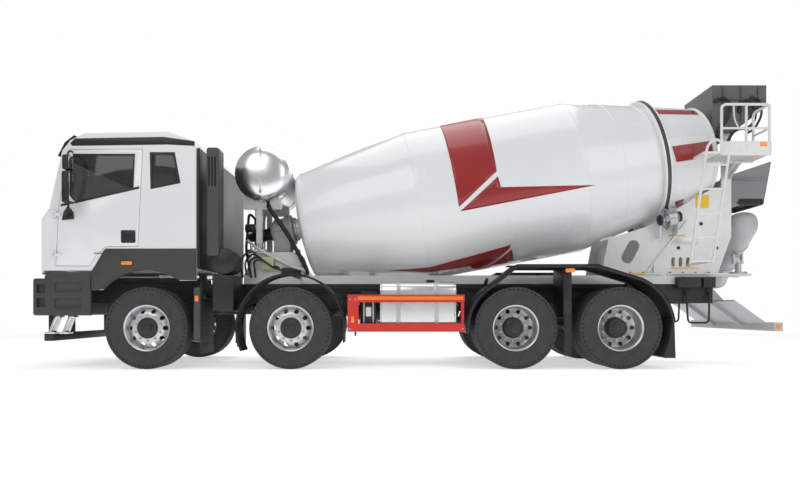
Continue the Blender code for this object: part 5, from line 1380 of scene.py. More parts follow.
    def intake(self) -> None:
        """Intake column behind the cab, with louvres, air cleaner and box."""
        low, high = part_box("air_intake")
        column = Shape().block((low.x + 0.005, low.x + 0.165), (-1.225, -0.95), (1.46, high.z),
                               0.03, 4)
        slots = Shape()
        for step in range(3):
            x = low.x + 0.045 + step * 0.038
            slots.block((x - 0.01, x + 0.01), (-1.26, -1.19), (2.36, 2.74), 0.004)
        column.less(slots)
        column.piece("intake_column", STACK_GREY, replaces=["air_intake"])
        fins = Shape()
        for step in range(3):
            x = low.x + 0.045 + step * 0.038
            for row in range(9):
                z = 2.38 + row * 0.04
                fins.block((x - 0.01, x + 0.01), (-1.212, -1.196), (z, z + 0.008), 0.001)
        fins.piece("intake_fins", TRIM_BLACK)
        drum = Shape().lathe([(0.0, 0.0), (0.1, 0.0), (0.115, 0.01), (0.15, 0.012), (0.172, 0.028),
                              (0.177, 0.06), (0.17, 0.07), (0.17, 0.36), (0.162, 0.385),
                              (0.08, 0.4), (0.0, 0.4)], (-2.555, -1.2, 1.395), (0, 1, 0), 56)
        drum.rod((-2.555, -0.86, 1.395), (-2.555, -0.52, 1.33), 0.075, 28, 0.01)
        drum.rod((low.x + 0.1, -1.09, 1.5), (-2.56, -1.09, 1.4), 0.09, 28, 0.01)
        drum.piece("air_cleaner", TRIM_BLACK)
        box = Shape().block((-2.69, -2.41), (-1.205, -0.7), (0.745, 1.215), 0.02, 3)
        box.block((-2.68, -2.42), (-1.212, -1.2), (0.98, 0.995), 0.003)
        box.block((-2.64, -2.46), (-0.72, -0.43), (0.86, 1.05), 0.01)
        box.piece("cleaner_box", TRIM_BLACK)
        seal = Shape().block((-2.884, -2.852), (-1.2, 1.2), (1.3, 2.86), 0.012, 3)
        seal.piece("cab_seal_panel", TRIM_BLACK)


def offset_path(path: Sequence[Point], distance: float) -> list[Point]:
    """A path moved to its left by a distance, or to its right if negative.

    Args:
        path: The points, from front to rear.
        distance: How far to move them.

    Returns:
        The moved points.
    """
    moved = []
    for index, point in enumerate(path):
        before = Vector(path[max(index - 1, 0)])
        after = Vector(path[min(index + 1, len(path) - 1)])
        way = (after - before).normalized()
        moved.append((point[0] - way.y * distance, point[1] + way.x * distance))
    return moved


# ------------------------------------------------------------------ drum and drive
@dataclass
class Drum:
    """The mixing drum with its seams, track ring, bands and painted decals."""

    head: Point = (-1.63, 0.0, 1.98362)
    tilt: float = math.radians(10.58)
    front_cone: float = 1.628
    barrel_end: float = 3.876
    length: float = 5.815
    head_radius: float = 0.757
    radius: float = 1.085
    mouth_radius: float = 0.65
    wall: float = 0.012
    track: float = 5.02
    track_radius: float = 0.905
    segments: int = 120
    film_lift: float = 0.003
    film_thickness: float = 0.0012
    film_grid: Span = (0.12, 0.06)
    degrees_per_unit: float = 50.0

    def build(self) -> None:
        """Make the drum and everything that turns with it."""
        self.axis = Vector((math.cos(self.tilt), 0.0, math.sin(self.tilt)))
        self.shell()
        self.seams()
        self.blades()
        self.decals()
        LOG.info("drum ready")

    def reach(self, station: float) -> float:
        """Outer radius of the shell at a distance behind its head."""
        if station < self.front_cone:
            share = max(station, 0.0) / self.front_cone
            return self.head_radius + (self.radius - self.head_radius) * share
        if station < self.barrel_end:
            return self.radius
        share = (station - self.barrel_end) / (self.length - self.barrel_end)
        return self.radius + (self.mouth_radius - self.radius) * share

    def shell(self) -> None:
        """Thin closed shell, open at the mouth, with its drive stub."""
        wall = self.wall
        outer = [(0.0, -0.178), (0.148, -0.178), (0.148, -0.098), (0.2, -0.092), (0.42, -0.065),
                 (0.62, -0.034), (0.705, -0.012), (0.736, 0.004), (0.752, 0.026), (0.76, 0.055)]
        for station in (0.4, 0.8, 1.2, 1.55, 1.628, 1.7, 2.2, 2.8, 3.4, 3.8, 3.876, 3.95, 4.3,
                        4.7, 5.1, 5.5, 5.8):
            outer.append((self.reach(station), station))
        outer += [(self.mouth_radius + 0.01, 5.806), (self.mouth_radius + 0.004, 5.815)]
        inner = [(self.reach(station) - wall, station) for station in
                 (5.815, 5.4, 4.6, 3.95, 3.876, 3.4, 2.2, 1.7, 1.628, 0.8, 0.06)]
        inner += [(0.62, -0.015), (0.42, -0.045), (0.0, -0.06)]
        Shape().lathe(outer + inner, self.head, self.axis, self.segments).piece(
            "drum_shell", DRUM_WHITE, "drum", ["mixing_drum"], crease=30)
        ring_profile = [(self.reach(self.track - 0.052) - 0.004, self.track - 0.052),
                        (self.track_radius - 0.012, self.track - 0.05),
                        (self.track_radius, self.track - 0.044),
                        (self.track_radius, self.track + 0.044),
                        (self.track_radius - 0.012, self.track + 0.05),
                        (self.reach(self.track + 0.052) - 0.004, self.track + 0.052)]
        Shape().lathe(ring_profile, self.head, self.axis, 144, loop=True).piece(
            "track_ring", DRUM_WHITE, "drum", crease=30)
        Shape().lathe([(self.track_radius - 0.004, self.track - 0.026),
                       (self.track_radius + 0.0006, self.track - 0.025),
                       (self.track_radius + 0.0006, self.track + 0.025),
                       (self.track_radius - 0.004, self.track + 0.026)],
                      self.head, self.axis, 144, loop=True).piece("track_face", IRON, "drum")
        flange = Shape().bolts(Vector(self.head) - self.axis * 0.147, self.axis, 0.161, 12,
                               0.008, 0.01)
        flange.lathe([(0.148, -0.176), (0.172, -0.172), (0.176, -0.15), (0.15, -0.146)],
                     self.head, self.axis, 48, loop=True)
        flange.piece("drum_flange", PALE_STEEL, "drum")

    def seams(self) -> None:
        """Weld beads round and along the shell, and the inspection hatch."""
        beads = Shape()
        for station in (0.062, self.front_cone, self.barrel_end, 2.75, 4.42, 5.3):
            radius = self.reach(station)
            beads.lathe([(radius - 0.002, station - 0.009), (radius + 0.0022, station - 0.004),
                         (radius + 0.0022, station + 0.004), (radius - 0.002, station + 0.009)],
                        self.head, self.axis, self.segments, loop=True)
        beads.lathe([(self.mouth_radius - 0.01, 5.755), (self.mouth_radius + 0.022, 5.76),
                     (self.mouth_radius + 0.024, 5.79), (self.mouth_radius - 0.008, 5.8)],
                    self.head, self.axis, self.segments, loop=True)
        beads.piece("weld_beads", DRUM_WHITE, "drum", crease=60)
        hatch = Shape()
        hatch.plate(oval((0.0, 0.0), (0.24, 0.2), 0.07, 6), "Z", -0.006, 0.012, 0.004)
        hatch.bolts((0, 0, 0.01), (0, 0, 1), 0.165, 10, 0.011, 0.01)
        turn = math.radians(-62)
        out = (self.axis.cross(Vector((0, 1, 0))) * -math.cos(turn)
               + Vector((0, 1, 0)) * math.sin(turn))
        centre = Vector(self.head) + self.axis * 3.35 - out * (self.radius - 0.004)
        hatch.turned(aim(centre, -out, self.axis)).piece("drum_hatch", DRUM_WHITE, "drum")

    def blades(self) -> None:
        """Two spiral blades that show inside the mouth."""
        blades = Shape()
        for start in (0.0, math.pi):
            made = bmesh.new()
            previous = None
            for step in range(41):
                station = 4.35 + 1.43 * step / 40
                turn = start + math.tau * 1.15 * step / 40
                matrix = aim(Vector(self.head) + self.axis * station, self.axis)
                way = Vector((math.cos(turn), math.sin(turn), 0.0))
                outer, inner = self.reach(station) - self.wall - 0.003, self.reach(station) - 0.24
                pair = [made.verts.new(matrix @ (way * r)) for r in (outer, inner)]
                if previous:
                    made.faces.new((previous[0], pair[0], pair[1], previous[1]))
                previous = pair
            bmesh.ops.solidify(made, geom=made.faces[:], thickness=0.006)
            bmesh.ops.recalc_face_normals(made, faces=made.faces)
            blades.take(made)
        blades.piece("drum_blades", PALE_STEEL, "drum")

    def place(self, station: float, turn: float, lift: float = 0.0) -> Vector:
        """A point on the shell: distance behind the head, and degrees down from the top line."""
        angle = math.radians(turn)
        up = Vector((-math.sin(self.tilt), 0.0, math.cos(self.tilt)))
        way = up * math.cos(angle) + Vector((0, -1, 0)) * math.sin(angle)
        return Vector(self.head) + self.axis * station + way * (self.reach(station) + lift)

    def decals(self) -> None:
        """The red bands of both sides, parted by white diagonals."""
        bands = {
            "band_broad": ((2.14, 24.0), (2.75, 20.0), (2.695, 84.5), (2.127, 104.0)),
            "band_wedge": ((2.696, 88.4), (2.711, 96.0), (3.95, 106.5), (2.136, 107.2)),
            "band_low_front": ((1.05, 154.3), (2.775, 141.4), (2.756, 145.3), (2.354, 172.0),
                               (2.239, 166.0), (2.211, 160.0)),
            "band_low_rear": ((2.789, 146.3), (2.86, 167.0), (2.393, 172.5)),
            "band_mouth_top": ((5.13, 34.7), (5.74, 32.0), (5.73, 45.3), (5.115, 45.4)),
            "band_mouth_side": ((5.135, 86.7), (5.74, 86.0), (5.74, 104.0), (5.165, 102.3)),
            "band_mouth_low": ((5.2, 147.0), (5.34, 148.0), (5.39, 163.0), (5.28, 160.0)),
        }
        for name, outline in bands.items():
            self.decal(outline, name, DECAL_RED)

    def decal(self, outline: Sequence[Point], name: str, finish: Finish) -> None:
        """A thin film laid on the shell.

        Args:
            outline: Corners as (distance behind the head, degrees from the top line).
            name: The piece's name.
            finish: Its colour.
        """
        both = Shape()
        for sign in (1, -1):
            made = bmesh.new()
            made.faces.new([made.verts.new((s, t / self.degrees_per_unit, 0.0)) for s,
                            t in outline])
            bmesh.ops.triangulate(made, faces=made.faces)
            for normal, reach, step in ((Vector((1, 0, 0)), 6.0, self.film_grid[0]),
                                        (Vector((0, 1, 0)), 4.0, self.film_grid[1])):
                spot = step
                while spot < reach:
                    bmesh.ops.bisect_plane(made, geom=made.verts[:] + made.edges[:] + made.faces[:],
                                           dist=0.00001, plane_co=normal * spot, plane_no=normal)
                    spot += step
            for station in (self.front_cone, self.barrel_end):
                bmesh.ops.bisect_plane(made, geom=made.verts[:] + made.edges[:] + made.faces[:],
                                       dist=0.00001, plane_co=(station, 0, 0), plane_no=(1, 0, 0))
            flat = [(vert, vert.co.x, vert.co.y * self.degrees_per_unit) for vert in made.verts]
            for vert, station, turn in flat:
                vert.co = self.place(station, turn, self.film_lift)
                vert.co.y *= sign
            bmesh.ops.recalc_face_normals(made, faces=made.faces)
            middle = sum((face.calc_center_median() for face in made.faces),
                         Vector()) / len(made.faces)
            outward = middle - (Vector(self.head)
                                + self.axis * self.axis.dot(middle - Vector(self.head)))
            if made.faces[:][0].normal.dot(outward) < 0:
                bmesh.ops.reverse_faces(made, faces=made.faces)
            both.take(made)
        piece = both.piece(name, finish, "drum", crease=60)
        film = piece.modifiers.new("film", "SOLIDIFY")
        film.thickness = self.film_thickness
        film.offset = 1.0


@dataclass
class MixerBody:
    """Carries and turns the drum: body rails, drive, rollers and the water tank."""

    head: Point = (-1.63, 0.0, 1.98362)
    tilt: float = math.radians(10.58)
    tank: Point = (-2.17, 0.0, 2.6506)
    tank_radius: float = 0.384
    tank_half: float = 0.748
    roller: Point = (3.468, 0.578, 2.031)
    roller_radius: float = 0.149

    def build(self) -> None:
        """Make every piece between the frame and the drum."""
        self.axis = Vector((math.cos(self.tilt), 0.0, math.sin(self.tilt)))
        dress("subframe", FRAME_WHITE, 0.004)
        self.drive()
        self.water_tank()
        self.lines()
        for word, side in SIDES:
            self.roller_pair(word, side)
        LOG.info("mixer body ready")

    def drive(self) -> None:
        """Gearbox with ribs and bolts, its motor, oil cooler lines and foot."""
        head, axis = Vector(self.head), self.axis
        case = Shape().lathe([(0.0, -0.518), (0.135, -0.518), (0.15, -0.505), (0.165, -0.47),
                              (0.18, -0.462), (0.18, -0.33), (0.198, -0.322), (0.205, -0.3),
                              (0.219, -0.296), (0.219, -0.262), (0.205, -0.258), (0.205, -0.235),
                              (0.219, -0.231), (0.219, -0.2), (0.19, -0.186), (0.0, -0.184)],
                             head, axis, 72)
        for turn in range(0, 360, 30):
            way = aim(head - axis * 0.42, axis) @ Matrix.Rotation(math.radians(turn), 4, "Z")
            rib = Shape().block((0.16, 0.196), (-0.006, 0.006), (-0.045, 0.095), 0.002)
            bmesh.ops.transform(rib.bm, matrix=way, verts=rib.bm.verts)
            case.take(rib.bm)
        case.bolts(head - axis * 0.262, axis, 0.212, 24, 0.0065, 0.026)
        middle = head - axis * 0.3505
        case.block((middle.x - 0.128, middle.x + 0.128), (-0.178, 0.178), (1.581, 1.606), 0.004)
        for y in (-0.15, 0.15):
            case.block((middle.x - 0.118, middle.x + 0.118), (y - 0.012, y + 0.012),
                       (1.6, middle.z - 0.06), 0.004)
        for x in (-0.1, 0.1):
            for y in (-0.165, 0.165):
                case.rod((middle.x + x, y, 1.604), (middle.x + x, y, 1.622), 0.013, 6, 0.002)
        case.piece("drum_gearbox", PALE_GREY, replaces=["drum_drive"], crease=30)
        motor = Shape().lathe([(0.0, -0.878), (0.06, -0.878), (0.068, -0.87), (0.068, -0.8),
                               (0.088, -0.79), (0.098, -0.77), (0.098, -0.64), (0.086, -0.62),
                               (0.086, -0.56), (0.099, -0.552), (0.099, -0.519), (0.0, -0.512)],
                              head, axis, 48)
        back = head - axis * 0.72
        motor.block((back.x - 0.06, back.x + 0.05), (-0.045, 0.045), (back.z + 0.07, back.z + 0.15),
                    0.008)
        for y in (-0.035, 0.035):
            start = back + Vector((-0.01, y, 0.12))
            motor.tube([start, start + Vector((-0.02, y * 2, 0.12)),
                        (-2.44, y * 6, 2.16), (-2.46, y * 9, 1.62), (-2.4, y * 9, 1.3)],
                       0.019, 4, 0.09)
        motor.bolts(head - axis * 0.519, -axis, 0.086, 8, 0.007, 0.008)
        motor.piece("drum_motor", TRIM_BLACK, crease=30)

    def water_tank(self) -> None:
        """Brushed tank with dished ends, seams, straps, filler, valve and sight tube."""
        half, radius = self.tank_half, self.tank_radius
        dish = [(0.0, 0.0), (0.1, 0.004), (0.2, 0.018), (0.28, 0.042), (0.335, 0.076),
                (0.368, 0.118), (0.381, 0.16), (radius, 0.205)]
        outline = [(r, -half + s) for r, s in dish] + [(r, half - s) for r, s in reversed(dish)]
        shell = Shape().lathe(outline, self.tank, (0, 1, 0), 96)
        for y in (-half + 0.21, -0.18, 0.18, half - 0.21):
            shell.lathe([(radius - 0.002, y - 0.006), (radius + 0.001, y - 0.003),
                         (radius + 0.001, y + 0.003), (radius - 0.002, y + 0.006)],
                        self.tank, (0, 1, 0), 96, loop=True)
        neck = Vector(self.tank) + Vector((0, -0.25, radius - 0.02))
        shell.rod(neck, neck + Vector((0, 0, 0.052)), 0.062, 32, 0.003)
        shell.piece("water_tank_shell", BRIGHT_ALLOY, replaces=["water_tank"], crease=40)
        cap = Shape().rod(neck + Vector((0, 0, 0.026)), neck + Vector((0, 0, 0.058)), 0.069, 24,
                          0.004)
        straps = Shape()
        for y in (-0.365, 0.365):
            straps.lathe([(radius + 0.0005, y - 0.03), (radius + 0.0045, y - 0.03),
                          (radius + 0.0045, y + 0.03), (radius + 0.0005, y + 0.03)],
                         self.tank, (0, 1, 0), 72, True, math.radians(196), (1, 0, 0.14))
        straps.piece("tank_straps", PALE_STEEL)
        cap.piece("tank_cap", TRIM_BLACK)
        end = Vector(self.tank) + Vector((0.0, -half + 0.012, 0.0))
        fittings, tube = Shape(), Shape()
        for z, inward in ((0.3, 0.045), (-0.27, 0.03)):
            root = end + Vector((0.0, inward + 0.03, z))
            tip = end + Vector((0.0, -0.002, z))
            fittings.rod(root, tip, 0.013, 12, 0.002)
            fittings.rod(tip + Vector((0, 0.004, -0.022)), tip + Vector((0, 0.004, 0.022)), 0.014,
                         12, 0.003)
        fittings.rod(end + Vector((0, 0.02, 0)), end + Vector((0, -0.001, 0)), 0.05, 24, 0.006)
        fittings.piece("sight_tube_fittings", NUT_STEEL)
        tube.rod(end + Vector((0, 0.002, -0.275)), end + Vector((0, 0.002, 0.305)), 0.009, 12)
        tube.piece("sight_tube", CLEAR_LENS)

    def lines(self) -> None:
        """Pipes, hoses, the electric box and the valve set behind the cab."""
        thick = Shape()
        thick.tube([(-2.12, -0.3, 2.29), (-2.12, -0.46, 2.22), (-1.86, -0.475, 1.86),
                    (-1.6, -0.475, 1.4), (-1.56, -0.42, 1.27)], 0.03, 6, 0.1)
        for x, z in ((-1.955, 1.995), (-1.7, 1.575)):
            thick.block((x - 0.03, x + 0.03), (-0.5, -0.4), (z - 0.035, z + 0.035), 0.008)
        for index in range(4):
            x, drop = -2.5 + 0.07 * index, 0.05 * index
            y = -0.36 - 0.035 * index
            thick.tube([(x, y, 1.22), (x - 0.02, y - 0.05, 1.45), (x + 0.1, y - 0.06, 1.62 - drop),
                        (x + 0.26, y - 0.03, 1.5 - drop), (x + 0.4, -0.4, 1.46 - drop)],
                       0.013, 4, 0.12)
        thick.piece("body_hoses", HOSE)
        white = Shape().tube([(-2.43, -0.345, 1.75), (-2.26, -0.45, 1.62), (-1.78, -0.45, 1.37),
                              (-1.6, -0.45, 1.33), (-1.52, -0.41, 1.25)], 0.022, 5, 0.07)
        white.tube([(-2.33, 0.36, 2.24), (-2.36, 0.45, 2.12), (-2.36, 0.45, 1.55),
                    (-2.3, 0.41, 1.3)], 0.022, 5, 0.07)
        white.piece("body_pipes", FRAME_WHITE)
        box = Shape().block((-2.2, -2.04), (-0.475, -0.405), (1.34, 1.5), 0.01, 3)
        box.block((-2.208, -2.032), (-0.482, -0.47), (1.332, 1.508), 0.005)
        box.piece("junction_box", BOX_GREEN)
        valves = Shape()
        for index in range(3):
            x = -2.36 + 0.085 * index
            valves.rod((x, -0.42, 1.6), (x, -0.42, 1.69), 0.018, 12, 0.003)
            valves.rod((x, -0.42, 1.69), (x, -0.42, 1.702), 0.026, 12, 0.003)
        valves.block((-2.41, -2.14), (-0.45, -0.385), (1.565, 1.615), 0.008)
        valves.block((-2.4, -2.36), (-0.44, -0.385), (1.24, 1.58), 0.004)
        valves.piece("water_valves", NUT_STEEL)
        dark = Shape().block((-1.93, -1.66), (-0.445, -0.405), (1.245, 1.36), 0.008)
        dark.bolts((-1.8, -0.445, 1.3), (0, -1, 0), 0.035, 6, 0.006, 0.008)
        dark.rod((-2.47, -0.29, 1.93), (-2.33, -0.29, 1.93), 0.062, 24, 0.012)
        dark.rod((-2.4, -0.29, 1.93), (-2.4, -0.385, 1.93), 0.016, 10)
        dark.piece("filter_pump", TRIM_BLACK)

    def roller_pair(self, word: str, side: int) -> None:
        """One drum roller with its shaft, bearing housings and bolts.

        Args:
            word: The side's name.
            side: -1 left, 1 right.
        """
        x, y, z = self.roller
        centre, axis, radius = Vector((x, side * y, z)), self.axis, self.roller_radius
        wheel = Shape().lathe([(0.0, 0.066), (0.034, 0.066), (0.036, 0.058), (0.062, 0.058),
                               (0.07, 0.036), (0.118, 0.032), (0.128, 0.056), (0.142, 0.059),
                               (radius, 0.052), (radius, -0.052), (0.142, -0.059), (0.128, -0.056),
                               (0.118, -0.032), (0.07, -0.036), (0.062, -0.058), (0.036, -0.058),
                               (0.034, -0.066), (0.0, -0.066)], centre, axis, 64)
        wheel.rod(centre - axis * 0.109, centre + axis * 0.109, 0.0345, 24, 0.003)
        wheel.piece(f"drum_roller_{word}", NUT_STEEL, f"roller_{word}", [f"roller_{word}"],
                    crease=30)
        homes = Shape()
        for end in (-1, 1):
            face = centre + axis * end * 0.112
            homes.rod(face, face + axis * end * 0.042, 0.074, 28, 0.008)
            homes.rod(face + axis * end * 0.04, face + axis * end * 0.056, 0.04, 24, 0.006)
            homes.bolts(face + axis * end * 0.042, axis * end, 0.058, 6, 0.007, 0.007)
        homes.piece(f"roller_bearings_{word}", TRIM_BLACK)


# ------------------------------------------------------------------ discharge end
@dataclass
class RearEnd:
    """Rear pedestal, hopper, funnel, chute, ladder with platform, and the rear bar."""

    pedestal: Span = (0.395, 0.415)
    chute_head: Point = (4.715, 0.0, 2.016)
    chute_way: Point = (0.0, 0.788, -0.6157)
    chute_pin: Point = (4.715, 0.0271, 1.5635)
    chute_radius: float = 0.26
    deck_x: Span = (3.886, 4.546)
    deck_y: Span = (-1.169, -0.722)
    deck_top: float = 2.82
    rail_top: float = 3.431
    bar_x: Span = (4.556, 4.676)
    bar_z: Span = (0.49, 0.6)

    def build(self) -> None:
        """Make every piece behind the drum."""
        self.side_plates()
        self.hopper()
        self.funnel()
        self.chute()
        self.ladder()
        self.platform()
        self.rear_bar()
        self.tail()
        LOG.info("rear end ready")

    def side_plates(self) -> None:
        """Pedestal with its oval opening and slots, bolts, sign blanks and yellow strips."""
        tool = Shape()
        for sign in (1, -1):
            low, high = side_span(sign, 0.36, 0.45)
            slant = Matrix.Rotation(math.radians(-28), 2)
            hole = []
            for u, v in oval((0.0, 0.0), (0.085, 0.175), 0.084, 6):
                spot = slant @ Vector((u, v))
                hole.append((2.985 + spot.x, 1.585 + spot.y))
            tool.plate(hole, "Y", low, high)
            for index in range(3):
                tool.plate(oval((3.585 + 0.105 * index, 1.44), (0.026, 0.066), 0.025, 4), "Y", low,
                           high)
        shape = Shape().copy_of("rear_pedestal").less(tool)
        shape.piece("pedestal_plates", FRAME_WHITE, replaces=["rear_pedestal"], soften=0.003)
        outer = self.pedestal[1]
        rims, studs = Shape(), Shape()
        rims.plate([(2.72, 1.262), (3.42, 1.262), (3.42, 1.285), (2.72, 1.285)], "Y", -outer - 0.03,
                   -outer + 0.001, 0.003)
        rims.plate([(3.5, 1.262), (4.36, 1.262), (4.36, 1.285), (3.5, 1.285)], "Y", -outer - 0.03,
                   -outer + 0.001, 0.003)
        rims.plate([(3.2, 1.3), (3.225, 1.285), (3.8, 2.02), (3.775, 2.035)], "Y", -outer - 0.022,
                   -outer + 0.001, 0.003)
        rims.block((3.3, 3.33), (-outer - 0.03, -outer + 0.001), (1.285, 1.41), 0.003)
        rims.mirrored().piece("pedestal_ribs", FRAME_WHITE)
        for x in (2.8, 2.98, 3.16, 3.54, 3.72, 3.9, 4.08, 4.26):
            studs.rod((x, -outer - 0.015, 1.284), (x, -outer - 0.015, 1.3), 0.011, 6, 0.001)
        for x, z in ((3.66, 1.64), (3.98, 1.98), (4.2, 1.64)):
            studs.rod((x, -outer + 0.001, z), (x, -outer - 0.01, z), 0.024, 20, 0.004)
        studs.mirrored().piece("pedestal_bolts", TRIM_BLACK)
        yellow = Shape()
        yellow.block((3.9, 4.09), (-outer - 0.0016, -outer + 0.001), (2.2, 2.385), 0.0006)
        yellow.block((3.55, 3.95), (-outer - 0.0016, -outer + 0.001), (1.345, 1.365), 0.0006)
        yellow.block((3.52, 3.75), (-outer - 0.0016, -outer + 0.001), (1.8, 1.825), 0.0006)
        yellow.block((2.92, 3.17), (-outer - 0.034, -outer - 0.029), (1.263, 1.284), 0.0006)
        yellow.mirrored().piece("pedestal_signs", YELLOW)
        plain = Shape().block((3.55, 3.94), (-outer - 0.0016, -outer + 0.001), (1.68, 1.785),
                              0.0006)
        plain.mirrored().piece("sign_blanks", PALE_STEEL)

    def hopper(self) -> None:
        """Feed hopper with a rolled rim, ribs and its spray hoses."""
        dress("hopper", GREY, 0.004)
        rim, z = Shape(), 3.911
        rim.tube([(4.5, -0.441, z), (4.13, -0.441, z), (4.13, 0.441, z), (4.872, 0.441, z),
                  (4.872, -0.441, z), (4.49, -0.441, z)], 0.0095, 4, 0.02)
        rim.piece("hopper_rim", GREY)
        ribs = Shape()
        for x, bottom in ((4.27, 3.3), (4.52, 3.42), (4.76, 3.6)):
            ribs.block((x - 0.006, x + 0.006), (-0.468, -0.446), (bottom, 3.895), 0.002)
        ribs.block((4.14, 4.86), (-0.464, -0.446), (3.712, 3.724), 0.002)
        ribs.mirrored().piece("hopper_ribs", GREY)
        hoses = Shape()
        hoses.tube([(4.16, -0.42, 2.9), (4.13, -0.5, 3.02), (4.19, -0.5, 3.28),
                    (4.33, -0.5, 3.45), (4.36, -0.5, 3.66), (4.24, -0.5, 3.74),
                    (4.17, -0.452, 3.7)], 0.021, 5, 0.11)
        hoses.tube([(4.26, -0.42, 2.92), (4.26, -0.545, 3.05), (4.38, -0.545, 3.28),
                    (4.62, -0.53, 3.3), (4.72, -0.5, 3.5), (4.62, -0.5, 3.72),
                    (4.5, -0.5, 3.66), (4.5, -0.452, 3.56)], 0.021, 5, 0.12)
        hoses.tube([(4.68, -0.452, 3.74), (4.76, -0.5, 3.7), (4.8, -0.5, 3.5),
                    (4.7, -0.48, 3.3), (4.6, -0.452, 3.24)], 0.016, 5, 0.1)
        for x, z in ((4.17, 3.7), (4.5, 3.56), (4.68, 3.74), (4.6, 3.3)):
            hoses.rod((x, -0.448, z), (x, -0.47, z), 0.032, 16, 0.004)
        hoses.piece("hopper_hoses", HOSE)

    def funnel(self) -> None:
        """Discharge funnel panels with folded edges and the black rubber liner."""
        dress("discharge_funnel", GREY_PANEL, 0.004)
        liner = Shape()
        liner.block((4.52, 4.856), (-0.4035, -0.396), (2.25, 2.335), 0.003)
        liner.block((4.5, 4.866), (-0.411, -0.403), (2.262, 2.3), 0.003)
        for x in (4.55, 4.65, 4.75, 4.84):
            liner.rod((x, -0.41, 2.281), (x, -0.416, 2.281), 0.01, 6)
        liner.mirrored()
        liner.block((4.85, 4.862), (-0.39, 0.39), (2.249, 2.3), 0.002)
        liner.piece("funnel_liner", FLAP)
        folds = Shape()
        folds.plate([(4.866, 2.262), (4.872, 2.262), (4.978, 2.856), (4.971, 2.856)], "Y", -0.397,
                    0.397, 0.002)
        folds.plate([(4.45, 2.6), (4.9, 2.6), (4.904, 2.618), (4.45, 2.618)], "Y", -0.413, -0.394,
                    0.002)
        folds.piece("funnel_folds", GREY_PANEL)

    def chute(self) -> None:
        """Swinging chute: smooth trough with a dished head, rims, ribs, grip and turntable."""
        head, way = Vector(self.chute_head), Vector(self.chute_way).normalized()
        radius = self.chute_radius
        inner, length = radius - 0.008, 1.148
        steps = [math.radians(90 - 7.5 * index) for index in range(13)]
        outer = [(radius * math.cos(a), -radius * math.sin(a)) for a in steps]
        inside = [(inner * math.cos(a), -inner * math.sin(a)) for a in reversed(steps)]
        trough = Shape().lathe(outer + [(radius, length), (inner, length)] + inside, head, way, 40,
                               True, math.pi, (1, 0, 0))
        up = Vector((0, -way.z, way.y))
        for x in (-1, 1):
            rail = [head + Vector((x * (radius - 0.002), 0, 0)) + way * s
                    for s in (0.0, length - 0.004)]
            trough.tube(rail, 0.0085, 4)
        for station in (0.3, 0.72, 1.128):
            trough.lathe([(radius - 0.002, station - 0.006), (radius + 0.0095, station - 0.006),
                          (radius + 0.0095, station + 0.006), (radius - 0.002, station + 0.006)],
                         head, way, 40, True, math.pi, (1, 0, 0))
        pin = Vector(self.chute_pin)
        trough.rod(pin, pin + up * 0.078, 0.0275, 20)
        trough.rod(pin - Vector((0.05, 0, 0)), pin + Vector((0.05, 0, 0)), 0.0218, 24, 0.002)
        trough.piece("chute_trough", PALE_GREY, "chute", ["chute"], crease=40)
        grip = head + way * 0.86
        edge = Vector((-radius + 0.004, 0, 0))
        handle = Shape().tube([grip + edge - up * 0.02, grip + edge - up * 0.085
                               + Vector((-0.004, 0, 0)), grip + edge - up * 0.085 + way * 0.16
                               + Vector((-0.004, 0, 0)), grip + edge - up * 0.02 + way * 0.16],
                              0.008, 4, 0.02)
        handle.piece("chute_grip", TRIM_BLACK, "chute")
        dress("chute_turntable", PALE_STEEL, 0.003)
        base = Vector((pin.x, 0.0, 1.322))
        studs = Shape().bolts(base, (0, 0, 1), 0.095, 8, 0.009, 0.008)
        studs.rod((pin.x - 0.07, pin.y, pin.z), (pin.x - 0.079, pin.y, pin.z), 0.02, 16, 0.003)
        studs.rod((pin.x + 0.07, pin.y, pin.z), (pin.x + 0.079, pin.y, pin.z), 0.02, 16, 0.003)
        studs.piece("turntable_bolts", NUT_STEEL, "chute_turntable")

    def ladder(self) -> None:
        """Two bent stiles with round rungs, the lower arm and the platform's rear hoops."""
        rails = Shape()
        for foot, top in ((3.506, 3.706), (3.796, 4.006)):
            knee = Vector((foot, -1.15, 1.372))
            high = Vector((top, -1.15, 2.79))
            rails.tube([knee, high], 0.0185, 5)
            rails.tube([(foot + 0.05, -1.1, 1.42), (foot - 0.002, -1.145, 1.385), knee], 0.0185, 5,
                       0.03)
        for index in range(5):
            share = 0.02 + 0.22 * index
            start = Vector((3.506 + 0.2 * share, -1.15, 1.372 + 1.418 * share))
            end = Vector((3.796 + 0.21 * share, -1.15, 1.372 + 1.418 * share))
            rails.rod(start, end, 0.0138, 16)
        rails.tube([(3.82, -1.15, 1.47), (3.8, -1.12, 1.402), (3.8, -0.9, 1.4),
                    (3.8, -0.416, 1.4)], 0.018, 5, 0.04)
        rails.tube([(3.7, -1.15, 2.74), (3.725, -1.15, 2.9), (3.82, -1.15, 2.985),
                    (3.905, -1.155, 2.95), (3.906, -1.155, 2.84)], 0.0165, 5, 0.09)
        for x in (3.7, 3.9):
            rails.block((x - 0.02, x + 0.02), (-1.165, -1.11), (2.776, 2.8), 0.003)
        rails.piece("ladder_rails", FRAME_WHITE, replaces=["ladder"])

